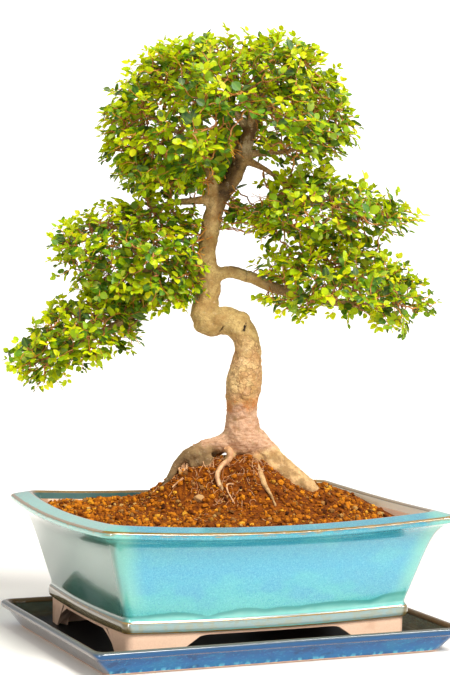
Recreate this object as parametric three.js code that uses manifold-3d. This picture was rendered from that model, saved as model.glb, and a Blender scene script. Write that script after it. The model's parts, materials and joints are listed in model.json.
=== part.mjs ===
// A Chinese elm bonsai in a glazed pot that stands in a glazed drip tray.
// Millimetres, +Z up. The origin is the centre of the tray's flat underside, on the table.
// +X runs along the pot's long side and +Y to the back.
// The tree is laid out in a frame of its own, turned about Z: a point there is
// [across, back, up], as it is seen from the tree's front.

import * as THREE from "three";
import { mergeVertices } from "three/addons/utils/BufferGeometryUtils.js";
import Module from "manifold-3d";

// Clearance left between pieces that rest on or in each other, and round what is grown into another
const GAP = 0.3;
const GROWN_GAP = 0.5;

// Drip tray, corner to corner at the rim
const TRAY_LENGTH = 315.8;
const TRAY_DEPTH = 242.6;
const TRAY_HEIGHT = 21.4;
const TRAY_FLOOR = 5.2;
const TRAY_CORNER = 9;

// Pot, corner to corner at the rim. Its sides bow outwards and its rim dips between the corners.
const POT_LENGTH = 300;
const POT_DEPTH = 240.2;
const POT_CORNER = 9;
const FOOT_BOTTOM = TRAY_FLOOR + GAP;
const ARCH_TOP = 23.7;
const LONG_ARCH = { footEnd: 72, shoulder: 52 };
const SHORT_ARCH = { footEnd: 58, shoulder: 36 };
const POT_UNDERSIDE = 27;
const POT_FLOOR = 36;
const MOULDING_MIDDLE = 33;
const LIP_TOP = 112.3;
const RIM_INNER_TOP = 116.2;
const RIM_WIDTH = 12.7;
const BASE_BOW = { long: 5.6, short: 3.4 };
const RIM_BOW = { long: 7.8, short: 5.8 };
const BASE_DIP = 1.5;
const RIM_DIP = 5.1;
const SHORT_SIDE_DIP = 0.6;
const DRAIN_HOLE_RADIUS = 11;
const DRAIN_HOLE_X = 62;

// Mesh over each drain hole, and the wire clip that holds it
const MESH_OPENINGS = 5;
const MESH_THICKNESS = 0.8;
const MESH_PITCH = 6;
const MESH_BAR = 1.8;
const MESH_SIDE = MESH_OPENINGS * MESH_PITCH + MESH_BAR;
const WIRE_RADIUS = 0.75;
const CLIP_SPAN = 12;
const CLIP_TOE = 10;

// Soil: its level at the pot's wall, the low dome over the whole surface and the heap at the roots
const SOIL_AT_WALL = 104.5;
const SOIL_DOME = 6.5;
const HEAP_HEIGHT = 39;
const HEAP_ACROSS = 3;
const HEAP_HALF_WIDTH = 60;
const HEAP_FRONT = 29;
const HEAP_BACK = 38;

// Where the soil has sunk, in the pot's front right corner
const HOLLOW_DEPTH = 5;
const HOLLOW_X = 118;
const HOLLOW_Y = -80;
const HOLLOW_RADIUS = 48;

// Tree frame: turned from the pot's frame so that its front faces the viewer
const TREE_TURN = THREE.MathUtils.degToRad(-23.5);

// Limbs, as [across, back, up, radius]
const TRUNK = [
  [14, 2, 160, 15],
  [13.7, 1, 169, 16.3],
  [13.1, 0, 177.4, 14.9],
  [12.7, -0.5, 185, 13.2],
  [12.3, -1, 190.8, 12.8],
  [12.2, -1.5, 195.5, 12.4],
  [12.6, -2, 200.9, 13.8],
  [13.1, -2.5, 207.6, 15.1],
  [13.8, -3, 216, 14.7],
  [15, -4, 224.4, 13.9],
  [16, -4.5, 232.7, 12.4],
  [16.7, -5, 241.9, 11.1],
  [14.7, -6, 251.5, 10.9],
  [10.8, -6, 259.2, 11.6],
  [4.9, -5, 265.1, 12.6],
  [-2.3, -2.5, 265.8, 11.8],
  [-10.2, 0, 265.2, 11.8],
  [-18.3, 3, 265.1, 13.5],
  [-20.3, 5, 273.1, 12],
  [-19.4, 6, 279.7, 11],
  [-17.3, 6, 286.4, 10.3],
  [-15.6, 5.5, 293.9, 9.6],
  [-15.3, 5, 301, 9],
  [-17.5, 4, 309, 8.6],
  [-19, 3, 318, 8],
  [-18.2, 2, 330, 8],
  [-16, 0, 341, 8.3],
  [-13.8, -1, 354, 7.8],
  [-10.5, -2, 365, 7.4],
  [-4.5, -1, 373, 7.2],
  [1.5, 1, 381, 6.9],
  [5.8, 3, 392, 6.6],
  [9.4, 4, 407, 6.6],
  [14.5, 4, 420, 6],
  [18, 3, 430, 5],
  [17, 1, 445, 4.2],
  [12, 0, 462, 3.2],
  [5, -1, 480, 2.2],
];

const ROOTS = {
  right: [
    [14, 0, 172, 13],
    [26.5, 1, 163.5, 12],
    [35.6, 3, 153.5, 10.5],
    [49.6, 5, 141, 9.6],
    [63, 7, 131.5, 9],
    [74, 9, 121, 7],
    [83, 11, 109, 4.5],
  ],
  left: [
    [10, 0, 170, 11],
    [-4, -1, 163.5, 8],
    [-17, -2, 161, 6.3],
    [-28, -3, 156.5, 5.4],
    [-36.5, -4, 151, 4.2],
    [-41.5, -5, 144.5, 3.4],
    [-45, -6, 137, 3.2],
    [-50, -7, 128, 3],
    [-56, -8, 115, 2.6],
  ],
  left_knuckle: [
    [-24, -3, 157, 5.2],
    [-20.5, -6, 152, 5.4],
    [-15, -9, 146, 4.2],
    [-11, -12, 139, 3],
    [-8, -14, 130, 2.4],
  ],
  front_middle: [
    [4, -3, 166, 8],
    [2.6, -5, 158, 3.8],
    [5.5, -8, 153.5, 2.6],
    [-1, -13, 147.5, 2.2],
    [-5.5, -18, 143, 2.1],
    [-6.5, -23, 137, 2],
    [-3.6, -27, 131.5, 1.7],
    [-1, -29, 123, 1.2],
  ],
  front_right: [
    [25, -6, 153, 5],
    [25, -13, 146, 3.2],
    [28.7, -17, 141.5, 2.9],
    [30.7, -23, 134.8, 2.6],
    [34.7, -28, 128.6, 1.9],
    [39.6, -34, 120.6, 1.2],
    [42, -37, 112, 0.9],
  ],
  back_right: [
    [26, 6, 164, 9],
    [36, 20, 153, 7],
    [42, 34, 140, 5.4],
    [45, 46, 124, 4],
    [46, 52, 110, 3],
  ],
  back_left: [
    [2, 4, 166, 9],
    [-6, 18, 158, 6],
    [-12, 32, 147, 4.8],
    [-17, 45, 130, 4],
    [-19, 52, 113, 3],
  ],
};

const LIMBS = {
  pale_stub: [
    [-11, -2, 362, 6.2],
    [-13.5, -3, 375, 4.6],
    [-16.5, -4, 387, 4],
    [-21, -6, 398, 3.2],
    [-32, -9, 411, 2.6],
    [-50, -13, 424, 2],
    [-72, -16, 434, 1.5],
  ],
  right: [
    [-15.5, 5, 302, 7.6],
    [-7, 4, 306.5, 6.3],
    [2.4, 3, 306.4, 5.6],
    [16.5, 1, 302.5, 5.4],
    [31.5, -2, 295.5, 5],
    [46.5, -5, 291, 4.7],
    [59, -7, 286.5, 4.2],
    [84, -9, 283, 3.3],
    [113, -10, 280.5, 2.5],
    [140, -10, 281, 1.8],
  ],
  left_low: [
    [-16, 5, 299, 7],
    [-27, 7, 298, 4.8],
    [-42, 9, 293, 4.4],
    [-60, 8, 281, 4.3],
    [-77, 5, 271, 4.2],
    [-90, 1, 262, 4],
    [-107, -4, 252.5, 3.2],
    [-131, -9, 241, 2.4],
    [-152, -12, 232, 1.8],
  ],
  left_middle: [
    [-12, -2, 366, 5],
    [-20, -3, 365.5, 3.5],
    [-32, -5, 364, 3.2],
    [-46, -8, 363, 2.9],
    [-64, -10, 356, 2.5],
    [-86, -12, 345, 2.2],
    [-112, -12, 333, 1.7],
    [-130, -10, 326, 1.3],
  ],
  left_middle_low: [
    [-18, 3, 316, 5],
    [-33, -3, 315, 3],
    [-56, -10, 309, 2.3],
    [-86, -14, 304, 1.6],
  ],
  right_upper: [
    [8, 4, 401, 4.6],
    [18.5, 3, 397, 2.6],
    [32, 1, 389, 2.3],
    [47, -1, 379, 2.1],
    [66, -4, 367, 1.9],
    [95, -6, 357, 1.6],
    [130, -5, 352, 1.2],
  ],
  right_middle: [
    [45, -5, 291, 4],
    [50, -4, 296, 3],
    [54, -1, 307, 2.5],
    [62, 3, 317, 2.1],
    [75, 6, 323, 1.6],
  ],
  crown_right_low: [
    [9, 4, 405, 4.4],
    [19, 6, 404, 2.8],
    [38, 10, 405, 2.4],
    [58, 14, 410, 2.1],
    [80, 16, 418, 1.5],
  ],
  crown_left: [
    [15, 4, 422, 4.4],
    [6, 2, 434, 3.2],
    [-10, -2, 447, 2.7],
    [-32, -6, 458, 2.2],
    [-58, -8, 462, 1.7],
    [-80, -8, 457, 1.2],
  ],
  crown_left_low: [
    [3, 2, 385, 5],
    [-6, 10, 396, 3.2],
    [-25, 18, 407, 2.6],
    [-50, 22, 415, 2.1],
    [-78, 20, 420, 1.5],
  ],
  crown_right: [
    [17, 3, 430, 4],
    [30, 0, 442, 2.9],
    [50, -4, 451, 2.3],
    [72, -6, 453, 1.8],
    [90, -6, 447, 1.2],
  ],
  crown_right_high: [
    [17, 2, 440, 3.6],
    [30, 8, 458, 2.4],
    [46, 12, 471, 1.9],
    [62, 14, 479, 1.3],
  ],
  crown_front: [
    [14.5, 3, 421, 4],
    [16, -10, 434, 2.9],
    [14, -28, 446, 2.3],
    [10, -46, 453, 1.8],
  ],
  crown_back: [
    [15, 5, 422, 4],
    [20, 18, 436, 2.9],
    [22, 36, 448, 2.3],
    [22, 54, 452, 1.8],
  ],
};

// Foliage pads: centre, half-sizes across, back and up, half-size down, and tilt to the right
const PADS = {
  foliage_crown: { centre: [-3, 0, 437], half: [109, 84, 72], down: 52, tilt: 5 },
  foliage_left_middle: { centre: [-85, -4, 326], half: [71, 56, 44], down: 46, tilt: 4 },
  foliage_left_low: { centre: [-128, -4, 247], half: [66, 48, 29], down: 24, tilt: 30 },
  foliage_right_upper: { centre: [86, 2, 359], half: [86, 56, 32], down: 24, tilt: -4 },
  foliage_right_low: { centre: [100, -4, 299], half: [82, 54, 29], down: 26, tilt: -8 },
};
const PAD_COLUMNS = 18;
const PAD_ROWS = 11;
const PAD_LUMPS = 0.03;
const PAD_CLEARANCE = 3;

const STONE_SIZE = [9.5, 7, 6.5];
const STONE_ACROSS = -21;
const STONE_BACK = -33;
const STONE_ROOM = 1.1;

const wasm = await Module();
wasm.setup();

const lerp = THREE.MathUtils.lerp;
const smoothstep = THREE.MathUtils.smoothstep;

// Closed three.js geometry to a solid that can be joined and cut
function solidOf(geometry) {
  const bare = geometry.clone();
  bare.deleteAttribute("normal");
  bare.deleteAttribute("uv");
  const merged = mergeVertices(bare, 1e-5);
  const vertProperties = new Float32Array(merged.attributes.position.array);
  const triVerts = new Uint32Array(merged.index.array);
  return new wasm.Manifold(new wasm.Mesh({ numProp: 3, vertProperties, triVerts }));
}

// A joined or cut solid back to three.js geometry
function geometryOf(solid) {
  const mesh = solid.getMesh();
  const geometry = new THREE.BufferGeometry();
  geometry.setAttribute("position", new THREE.BufferAttribute(mesh.vertProperties, 3));
  geometry.setIndex(new THREE.BufferAttribute(mesh.triVerts, 1));
  geometry.computeVertexNormals();
  return geometry;
}

// Skins a row of closed rings, each with the same number of points, and closes both ends on a pole.
// The rings run so that their points turn anticlockwise, seen from the last ring's side.
function skin(rings, firstPole, lastPole) {
  const count = rings[0].length;
  const points = [firstPole, ...rings.flat(), lastPole];
  const index = [];
  const at = (ring, i) => 1 + ring * count + (i % count);
  const last = points.length - 1;
  for (let i = 0; i < count; i += 1) {
    index.push(0, at(0, i + 1), at(0, i));
    index.push(last, at(rings.length - 1, i), at(rings.length - 1, i + 1));
  }
  for (let ring = 0; ring < rings.length - 1; ring += 1) {
    for (let i = 0; i < count; i += 1) {
      index.push(at(ring, i), at(ring, i + 1), at(ring + 1, i));
      index.push(at(ring, i + 1), at(ring + 1, i + 1), at(ring + 1, i));
    }
  }
  const geometry = new THREE.BufferGeometry();
  geometry.setAttribute("position", new THREE.Float32BufferAttribute(points.flat(), 3));
  geometry.setIndex(index);
  geometry.computeVertexNormals();
  return geometry;
}

// One horizontal ring of a rounded rectangle. Its sides bow outwards and dip between the corners.
const SIDE_STEPS = 7;
const CORNER_STEPS = 3;

function roundedRing(halfX, halfY, corner, z, bow = { long: 0, short: 0 }, dip = 0) {
  const round = Math.min(corner, halfX * 0.6, halfY * 0.6);
  const points = [];
  const quarters = [
    [1, 1, 0],
    [-1, 1, 1],
    [-1, -1, 2],
    [1, -1, 3],
  ];
  for (const [sx, sy, turn] of quarters) {
    for (let step = 0; step <= CORNER_STEPS; step += 1) {
      const angle = (turn + step / CORNER_STEPS) * (Math.PI / 2);
      points.push([
        sx * (halfX - round) + round * Math.cos(angle),
        sy * (halfY - round) + round * Math.sin(angle),
      ]);
    }
  }
  const ring = [];
  points.forEach(([x, y], i) => {
    ring.push([x, y]);
    if (i % (CORNER_STEPS + 1) === CORNER_STEPS) {
      const [nextX, nextY] = points[(i + 1) % points.length];
      for (let step = 1; step < SIDE_STEPS; step += 1) {
        ring.push([lerp(x, nextX, step / SIDE_STEPS), lerp(y, nextY, step / SIDE_STEPS)]);
      }
    }
  });
  return ring.map(([x, y]) => {
    const along = x / halfX;
    const deep = y / halfY;
    const sag = (1 - along ** 2) * deep ** 2 + SHORT_SIDE_DIP * (1 - deep ** 2) * along ** 2;
    return [
      x + along * bow.short * (1 - deep ** 2),
      y + deep * bow.long * (1 - along ** 2),
      z - dip * sag,
    ];
  });
}

// A ring of the pot, inset from the rim's outer edge. Bow and dip grow from the feet to the rim,
// apart from the dip of a level ring.
function potRing(inset, z, level = false) {
  const rise = smoothstep(z, MOULDING_MIDDLE, LIP_TOP);
  const bow = {
    long: lerp(BASE_BOW.long, RIM_BOW.long, rise),
    short: lerp(BASE_BOW.short, RIM_BOW.short, rise),
  };
  const dip = smoothstep(z, FOOT_BOTTOM, MOULDING_MIDDLE) * lerp(BASE_DIP, RIM_DIP, rise);
  const halfX = POT_LENGTH / 2 - inset;
  const halfY = POT_DEPTH / 2 - inset;
  return roundedRing(halfX, halfY, POT_CORNER, z, bow, level ? 0 : dip);
}

// The pot's inner wall, from the rim down to the floor, as [inset, z]
const POT_INNER_WALL = [
  [RIM_WIDTH, RIM_INNER_TOP],
  [RIM_WIDTH + 2.2, RIM_INNER_TOP - 1],
  [RIM_WIDTH + 3.6, RIM_INNER_TOP - 5],
  [22.5, 94],
  [26.5, 79],
  [32, 57],
  [35.5, 43],
];
const POT_FLOOR_INSET = 42;

// How far the inner wall stands in from the rim's outer edge at a height
function wallInset(height) {
  const below = POT_INNER_WALL.findIndex(([, z]) => z <= height);
  const [lowInset, lowZ] = POT_INNER_WALL[below];
  const [highInset, highZ] = POT_INNER_WALL[below - 1];
  return lerp(lowInset, highInset, (height - lowZ) / (highZ - lowZ));
}

function trayGeometry() {
  const profile = [
    [17.5, 0],
    [14.8, 0.6],
    [4.6, 14.6],
    [1.6, 15.6],
    [0, 18.2],
    [1, 20.6],
    [3.2, TRAY_HEIGHT],
    [5.4, 20.4],
    [6.4, 18],
    [17, 6.6],
    [21.5, TRAY_FLOOR],
  ];
  const rings = profile.map(([inset, z]) =>
    roundedRing(TRAY_LENGTH / 2 - inset, TRAY_DEPTH / 2 - inset, TRAY_CORNER, z),
  );
  return skin(rings, [0, 0, 0], [0, 0, TRAY_FLOOR]);
}

// An arch cut through two opposite walls of the pot's foot skirt. It rises from the splayed foot ends
// over a hollow shoulder to its level top.
function archCut(footEnd, shoulder, length) {
  const splay = 4;
  const footHeight = 12;
  const shoulderHeight = 22.6;
  const hollow = { out: 10, height: 19 };
  const ease = { bend: 8, end: 20 };
  const shape = new THREE.Shape();
  shape.moveTo(-footEnd - splay, 0);
  shape.lineTo(footEnd + splay, 0);
  shape.lineTo(footEnd, footHeight);
  shape.quadraticCurveTo(shoulder + hollow.out, hollow.height, shoulder, shoulderHeight);
  shape.quadraticCurveTo(shoulder - ease.bend, ARCH_TOP, shoulder - ease.end, ARCH_TOP);
  shape.lineTo(ease.end - shoulder, ARCH_TOP);
  shape.quadraticCurveTo(ease.bend - shoulder, ARCH_TOP, -shoulder, shoulderHeight);
  shape.quadraticCurveTo(-shoulder - hollow.out, hollow.height, -footEnd, footHeight);
  const geometry = new THREE.ExtrudeGeometry(shape, {
    depth: length,
    bevelEnabled: false,
    curveSegments: 3,
  });
  geometry.translate(0, 0, -length / 2);
  geometry.rotateX(Math.PI / 2);
  return geometry;
}

function potGeometry() {
  const skirtInside = 40;
  const profile = [
    [38.5, FOOT_BOTTOM],
    [29.6, FOOT_BOTTOM],
    [29.4, 27.6],
    [27.4, 28.6],
    [26.6, MOULDING_MIDDLE],
    [27.4, 37.3],
    [28.4, 41],
    [25.6, 51],
    [22, 64],
    [18, 78.6],
    [13.6, 92.9],
    [9.5, 100.7],
    [3.8, 106.6],
    [0.4, 109],
    [0, LIP_TOP],
    ...POT_INNER_WALL,
  ];
  const rings = [
    potRing(skirtInside, POT_UNDERSIDE, true),
    ...profile.map(([inset, z]) => potRing(inset, z)),
    potRing(POT_FLOOR_INSET, POT_FLOOR, true),
  ];
  let pot = solidOf(skin(rings, [0, 0, POT_UNDERSIDE], [0, 0, POT_FLOOR]));
  const longArch = archCut(LONG_ARCH.footEnd, LONG_ARCH.shoulder, POT_DEPTH);
  const shortArch = archCut(SHORT_ARCH.footEnd, SHORT_ARCH.shoulder, POT_LENGTH);
  shortArch.rotateZ(Math.PI / 2);
  pot = pot.subtract(solidOf(longArch)).subtract(solidOf(shortArch));
  for (const x of [-DRAIN_HOLE_X, DRAIN_HOLE_X]) {
    const hole = new THREE.CylinderGeometry(DRAIN_HOLE_RADIUS, DRAIN_HOLE_RADIUS, 20, 20);
    hole.rotateX(Math.PI / 2);
    hole.translate(x, 0, (POT_UNDERSIDE + POT_FLOOR) / 2);
    pot = pot.subtract(solidOf(hole));
  }
  return geometryOf(pot);
}

// A square of plastic mesh: two layers of crossing bars, joined
function meshGeometry() {
  let square = null;
  for (let i = 0; i <= MESH_OPENINGS; i += 1) {
    const offset = (i - MESH_OPENINGS / 2) * MESH_PITCH;
    for (const turn of [0, Math.PI / 2]) {
      const strip = new THREE.BoxGeometry(MESH_SIDE, MESH_BAR, MESH_THICKNESS);
      strip.translate(0, offset, MESH_THICKNESS / 2);
      strip.rotateZ(turn);
      const solid = solidOf(strip);
      square = square ? square.add(solid) : solid;
    }
  }
  return geometryOf(square);
}

// The clip: over the mesh, down through it and the drain hole, and out under the pot's floor
function clipGeometry() {
  const top = POT_FLOOR + GAP + MESH_THICKNESS + GAP + WIRE_RADIUS;
  const bottom = POT_UNDERSIDE - GAP - WIRE_RADIUS;
  const half = CLIP_SPAN / 2;
  const bend = 1.6;
  const stations = [
    [-half - CLIP_TOE, bottom - 0.4],
    [-half - bend, bottom],
    [-half, bottom + bend],
    [-half, top - bend],
    [-half + bend, top],
    [half - bend, top],
    [half, top - bend],
    [half, bottom + bend],
    [half + bend, bottom],
    [half + CLIP_TOE, bottom - 0.4],
  ];
  const rings = stations.map(([x, z], i) => {
    const before = stations[Math.max(i - 1, 0)];
    const after = stations[Math.min(i + 1, stations.length - 1)];
    const along = new THREE.Vector3(after[0] - before[0], 0, after[1] - before[1]).normalize();
    const side = new THREE.Vector3(0, 1, 0);
    return circleRing(new THREE.Vector3(x, 0, z), along, side, WIRE_RADIUS, 6);
  });
  return skin(rings, [stations[0][0], 0, stations[0][1]], [
    stations.at(-1)[0],
    0,
    stations.at(-1)[1],
  ]);
}

// A circle of points about a centre, anticlockwise when seen against the direction along
function circleRing(centre, along, side, radius, sides) {
  const across = side.clone().addScaledVector(along, -side.dot(along)).normalize();
  const up = new THREE.Vector3().crossVectors(along, across);
  return Array.from({ length: sides }, (_, i) => {
    const angle = (i / sides) * 2 * Math.PI;
    const point = centre
      .clone()
      .addScaledVector(across, radius * Math.cos(angle))
      .addScaledVector(up, radius * Math.sin(angle));
    return point.toArray();
  });
}

// How finely each kind of limb is made, and how far its end points stand out, in radii
const TRUNK_MESH = { sides: 14, stepsPerStation: 1.2 };
const ROOT_MESH = { sides: 9, stepsPerStation: 1.4 };
const LIMB_MESH = { sides: 7, stepsPerStation: 1 };
const END_ROUNDING = 0.7;

// A tapering limb with rounded ends through [across, back, up, radius] stations
function limbGeometry(stations, { sides, stepsPerStation }, grow = 0) {
  const curve = new THREE.CatmullRomCurve3(
    stations.map(([x, y, z]) => new THREE.Vector3(x, y, z)),
    false,
    "centripetal",
  );
  const steps = Math.round((stations.length - 1) * stepsPerStation);
  const { tangents, normals } = curve.computeFrenetFrames(steps, false);
  const radiusAt = (u) => {
    const place = curve.getUtoTmapping(u) * (stations.length - 1);
    const i = Math.min(Math.floor(place), stations.length - 2);
    return lerp(stations[i][3], stations[i + 1][3], smoothstep(place - i, 0, 1)) + grow;
  };
  const rings = [];
  for (let step = 0; step <= steps; step += 1) {
    const u = step / steps;
    const centre = curve.getPointAt(u);
    rings.push(circleRing(centre, tangents[step], normals[step], radiusAt(u), sides));
  }
  const first = curve.getPointAt(0);
  const last = curve.getPointAt(1);
  const lastTangent = tangents[steps];
  const startCap = first.clone().addScaledVector(tangents[0], -END_ROUNDING * radiusAt(0));
  const endCap = last.clone().addScaledVector(lastTangent, END_ROUNDING * radiusAt(1));
  return skin(rings, startCap.toArray(), endCap.toArray());
}

// The whole tree as one solid, or the same grown by a clearance to cut its neighbours with
function treeSolid(grow = 0) {
  let tree = solidOf(limbGeometry(TRUNK, TRUNK_MESH, grow));
  for (const root of Object.values(ROOTS)) {
    tree = tree.add(solidOf(limbGeometry(root, ROOT_MESH, grow)));
  }
  for (const limb of Object.values(LIMBS)) {
    tree = tree.add(solidOf(limbGeometry(limb, LIMB_MESH, grow)));
  }
  return tree;
}

// Height of the soil's surface over a point of the pot, given by its place in the pot's outline
function soilHeight(x, y, fromCentre) {
  const across = x * Math.cos(TREE_TURN) + y * Math.sin(TREE_TURN);
  const back = -x * Math.sin(TREE_TURN) + y * Math.cos(TREE_TURN);
  const dome = SOIL_DOME * (1 - fromCentre ** 4);
  const wide = (Math.abs(across - HEAP_ACROSS) / HEAP_HALF_WIDTH) ** 3.5;
  const deep = (Math.abs(back) / (back < 0 ? HEAP_FRONT : HEAP_BACK)) ** 2.4;
  const fromHollow = Math.hypot(x - HOLLOW_X, y - HOLLOW_Y) / HOLLOW_RADIUS;
  const level = SOIL_AT_WALL + dome - HOLLOW_DEPTH * Math.exp(-(fromHollow ** 2));
  return level + HEAP_HEIGHT * Math.exp(-wide - deep);
}

function soilGeometry(tree, cutters) {
  const wall = POT_INNER_WALL.filter(([, z]) => z < SOIL_AT_WALL).reverse();
  const clear = GAP + 0.15;
  const floor = POT_FLOOR + GAP;
  const rings = [
    potRing(POT_FLOOR_INSET + clear, floor, true),
    ...wall.map(([inset, z]) => potRing(inset + clear, z)),
  ];
  const edge = potRing(wallInset(SOIL_AT_WALL), SOIL_AT_WALL).map(([x, y], i) => {
    const z = soilHeight(x, y, 1);
    return potRing(wallInset(z) + 2 * clear, z)[i];
  });
  const shares = [1, 0.88, 0.76, 0.65, 0.55, 0.46, 0.38, 0.31, 0.24, 0.17, 0.1, 0.04];
  for (const share of shares) {
    rings.push(edge.map(([x, y]) => [x * share, y * share, soilHeight(x * share, y * share, share)]));
  }
  let soil = solidOf(skin(rings, [0, 0, floor], [0, 0, soilHeight(0, 0, 0)]));
  for (const cutter of cutters) {
    soil = soil.subtract(cutter);
  }
  return geometryOf(soil.subtract(tree));
}

// A room in the soil for a mesh square and its clip
function meshRoom(x) {
  const height = GAP + MESH_THICKNESS + 2 * WIRE_RADIUS + 2 * GAP;
  const room = new THREE.BoxGeometry(MESH_SIDE + 2 * GAP, MESH_SIDE + 2 * GAP, height * 2);
  room.translate(x, 0, POT_FLOOR);
  return solidOf(room);
}

// A lumpy, flattened ball for one pad of foliage, or the same grown to cut its neighbours with
function padSolid({ centre, half, down, tilt }, grow = 0) {
  const geometry = new THREE.SphereGeometry(1, PAD_COLUMNS, PAD_ROWS);
  geometry.rotateX(Math.PI / 2);
  const position = geometry.attributes.position;
  for (let i = 0; i < position.count; i += 1) {
    const [x, y, z] = [position.getX(i), position.getY(i), position.getZ(i)];
    const lump = 1 + PAD_LUMPS * Math.sin(4 * x + centre[2]) * Math.sin(4 * y) * Math.cos(3 * z);
    const high = z > 0 ? half[2] : down;
    const size = [half[0], half[1], high].map((side) => side * lump + grow);
    position.setXYZ(i, x * size[0], y * size[1], z * size[2]);
  }
  geometry.rotateY(THREE.MathUtils.degToRad(-tilt));
  geometry.translate(...centre);
  return solidOf(geometry);
}

function stoneGeometry() {
  const geometry = new THREE.IcosahedronGeometry(0.5, 1);
  geometry.scale(...STONE_SIZE);
  return geometry;
}

function finish(colour, roughness, metalness = 0) {
  return new THREE.MeshStandardMaterial({ color: colour, roughness, metalness });
}

function piece(name, geometry, material) {
  const mesh = new THREE.Mesh(geometry, material);
  mesh.name = name;
  return mesh;
}

const bonsai = new THREE.Group();
bonsai.add(piece("drip_tray", trayGeometry(), finish(0x2f6fae, 0.2)));
bonsai.add(piece("pot", potGeometry(), finish(0x4fb8c6, 0.2)));

for (const [side, x] of [["left", -DRAIN_HOLE_X], ["right", DRAIN_HOLE_X]]) {
  const mesh = piece(`drain_mesh_${side}`, meshGeometry(), finish(0x1d1f1d, 0.6));
  mesh.position.set(x, 0, POT_FLOOR + GAP);
  const clip = piece(`mesh_clip_${side}`, clipGeometry(), finish(0xb9bcc0, 0.35, 1));
  clip.position.set(x, 0, 0);
  bonsai.add(mesh, clip);
}

const treeFrame = new THREE.Group();
treeFrame.rotation.z = TREE_TURN;
bonsai.add(treeFrame);

const clearance = treeSolid(GROWN_GAP);
treeFrame.add(piece("tree", geometryOf(treeSolid()), finish(0xb08a5a, 0.8)));
let taken = clearance;
for (const [name, pad] of Object.entries(PADS)) {
  treeFrame.add(piece(name, geometryOf(padSolid(pad).subtract(taken)), finish(0x6f9a2c, 0.7)));
  taken = taken.add(padSolid(pad, PAD_CLEARANCE));
}

const stone = piece("pale_stone", stoneGeometry(), finish(0xc0a377, 0.8));
const stonePlace = new THREE.Vector3(STONE_ACROSS, STONE_BACK, 0);
stonePlace.applyAxisAngle(new THREE.Vector3(0, 0, 1), TREE_TURN);
stonePlace.z = soilHeight(stonePlace.x, stonePlace.y, stonePlace.length() / (POT_DEPTH / 2)) + 1;
stone.position.copy(stonePlace);
bonsai.add(stone);

const stoneRoom = stoneGeometry().scale(STONE_ROOM, STONE_ROOM, STONE_ROOM);
stoneRoom.translate(...stonePlace.toArray());
const turnDegrees = THREE.MathUtils.radToDeg(TREE_TURN);
const soilCutters = [meshRoom(-DRAIN_HOLE_X), meshRoom(DRAIN_HOLE_X), solidOf(stoneRoom)];
const turnedTree = clearance.rotate([0, 0, turnDegrees]);
bonsai.add(piece("soil", soilGeometry(turnedTree, soilCutters), finish(0x7a4a24, 0.95)));

export default bonsai;
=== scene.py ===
"""A Chinese elm bonsai in its glazed pot and drip tray, dressed around the fixed CAD frame.

Meshes are worked in millimetres and turned to metres when a piece is made. The tree has a frame of
its own, turned about Z: a point there is (across, back, up), as it is seen from the tree's front.
"""

import json
import logging
import math
import random
from collections.abc import Callable, Iterable, Mapping, Sequence
from dataclasses import dataclass, field
from enum import Enum

import bmesh
import bpy
import numpy as np
from bmesh.types import BMEdge, BMesh, BMFace, BMVert
from bpy.types import ID, ColorRamp, Light, Material, Mesh, NodeSocket, Object
from mathutils import Matrix, Vector, noise
from mathutils.bvhtree import BVHTree
from mathutils.kdtree import KDTree

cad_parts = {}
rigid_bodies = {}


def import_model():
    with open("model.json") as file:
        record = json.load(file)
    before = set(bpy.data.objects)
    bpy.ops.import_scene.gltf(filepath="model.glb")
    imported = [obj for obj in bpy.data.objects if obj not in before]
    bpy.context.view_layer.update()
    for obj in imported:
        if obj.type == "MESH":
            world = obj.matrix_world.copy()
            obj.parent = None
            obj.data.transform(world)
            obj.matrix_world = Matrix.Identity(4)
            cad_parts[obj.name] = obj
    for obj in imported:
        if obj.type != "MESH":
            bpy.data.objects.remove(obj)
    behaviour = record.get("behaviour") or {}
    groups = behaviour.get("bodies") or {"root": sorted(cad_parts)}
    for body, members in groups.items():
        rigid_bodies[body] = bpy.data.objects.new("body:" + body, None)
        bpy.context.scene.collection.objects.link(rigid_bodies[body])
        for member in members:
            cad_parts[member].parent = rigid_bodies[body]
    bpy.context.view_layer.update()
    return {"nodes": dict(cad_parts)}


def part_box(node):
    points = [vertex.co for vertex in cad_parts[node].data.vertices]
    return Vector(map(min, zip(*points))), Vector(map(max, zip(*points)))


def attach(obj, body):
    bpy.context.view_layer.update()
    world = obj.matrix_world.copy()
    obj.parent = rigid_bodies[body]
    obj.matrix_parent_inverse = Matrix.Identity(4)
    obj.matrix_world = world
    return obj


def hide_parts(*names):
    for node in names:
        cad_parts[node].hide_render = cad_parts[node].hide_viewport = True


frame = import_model()

log = logging.getLogger("bonsai")

Pair = tuple[float, float]
Triple = tuple[float, float, float]
Quad = tuple[float, float, float, float]
Strand = list[tuple[Vector, float]]

MM = 0.001
BODY = "root"
TREE_TURN = Matrix.Rotation(math.radians(-23.5), 3, "Z")
UP = Vector((0, 0, 1))
ABOVE_ALL = 400.0


class Slot(Enum):
    """The record's material slots."""

    TRAY = "tray_glaze"
    POT = "pot_glaze"
    MESH = "plastic_mesh"
    WIRE = "wire"
    SOIL = "soil"
    PEBBLE = "pebble"
    BARK = "bark"
    FOLIAGE = "foliage"


def in_pot_frame(across: float, back: float, up: float) -> Vector:
    """The place of a point of the tree's own frame, in millimetres."""
    return TREE_TURN @ Vector((across, back, up))


def in_tree_frame(place: Vector) -> Vector:
    """A place in the tree's own frame, as (across, back, up)."""
    return TREE_TURN.inverted() @ place


def tone(red: int, green: int, blue: int) -> Triple:
    """A screen colour of 0 to 255 as the linear colour that a shader takes."""
    return tuple(
        c / 12.92 if c <= 0.04045 else ((c + 0.055) / 1.055) ** 2.4
        for c in (red / 255, green / 255, blue / 255)
    )


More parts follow.
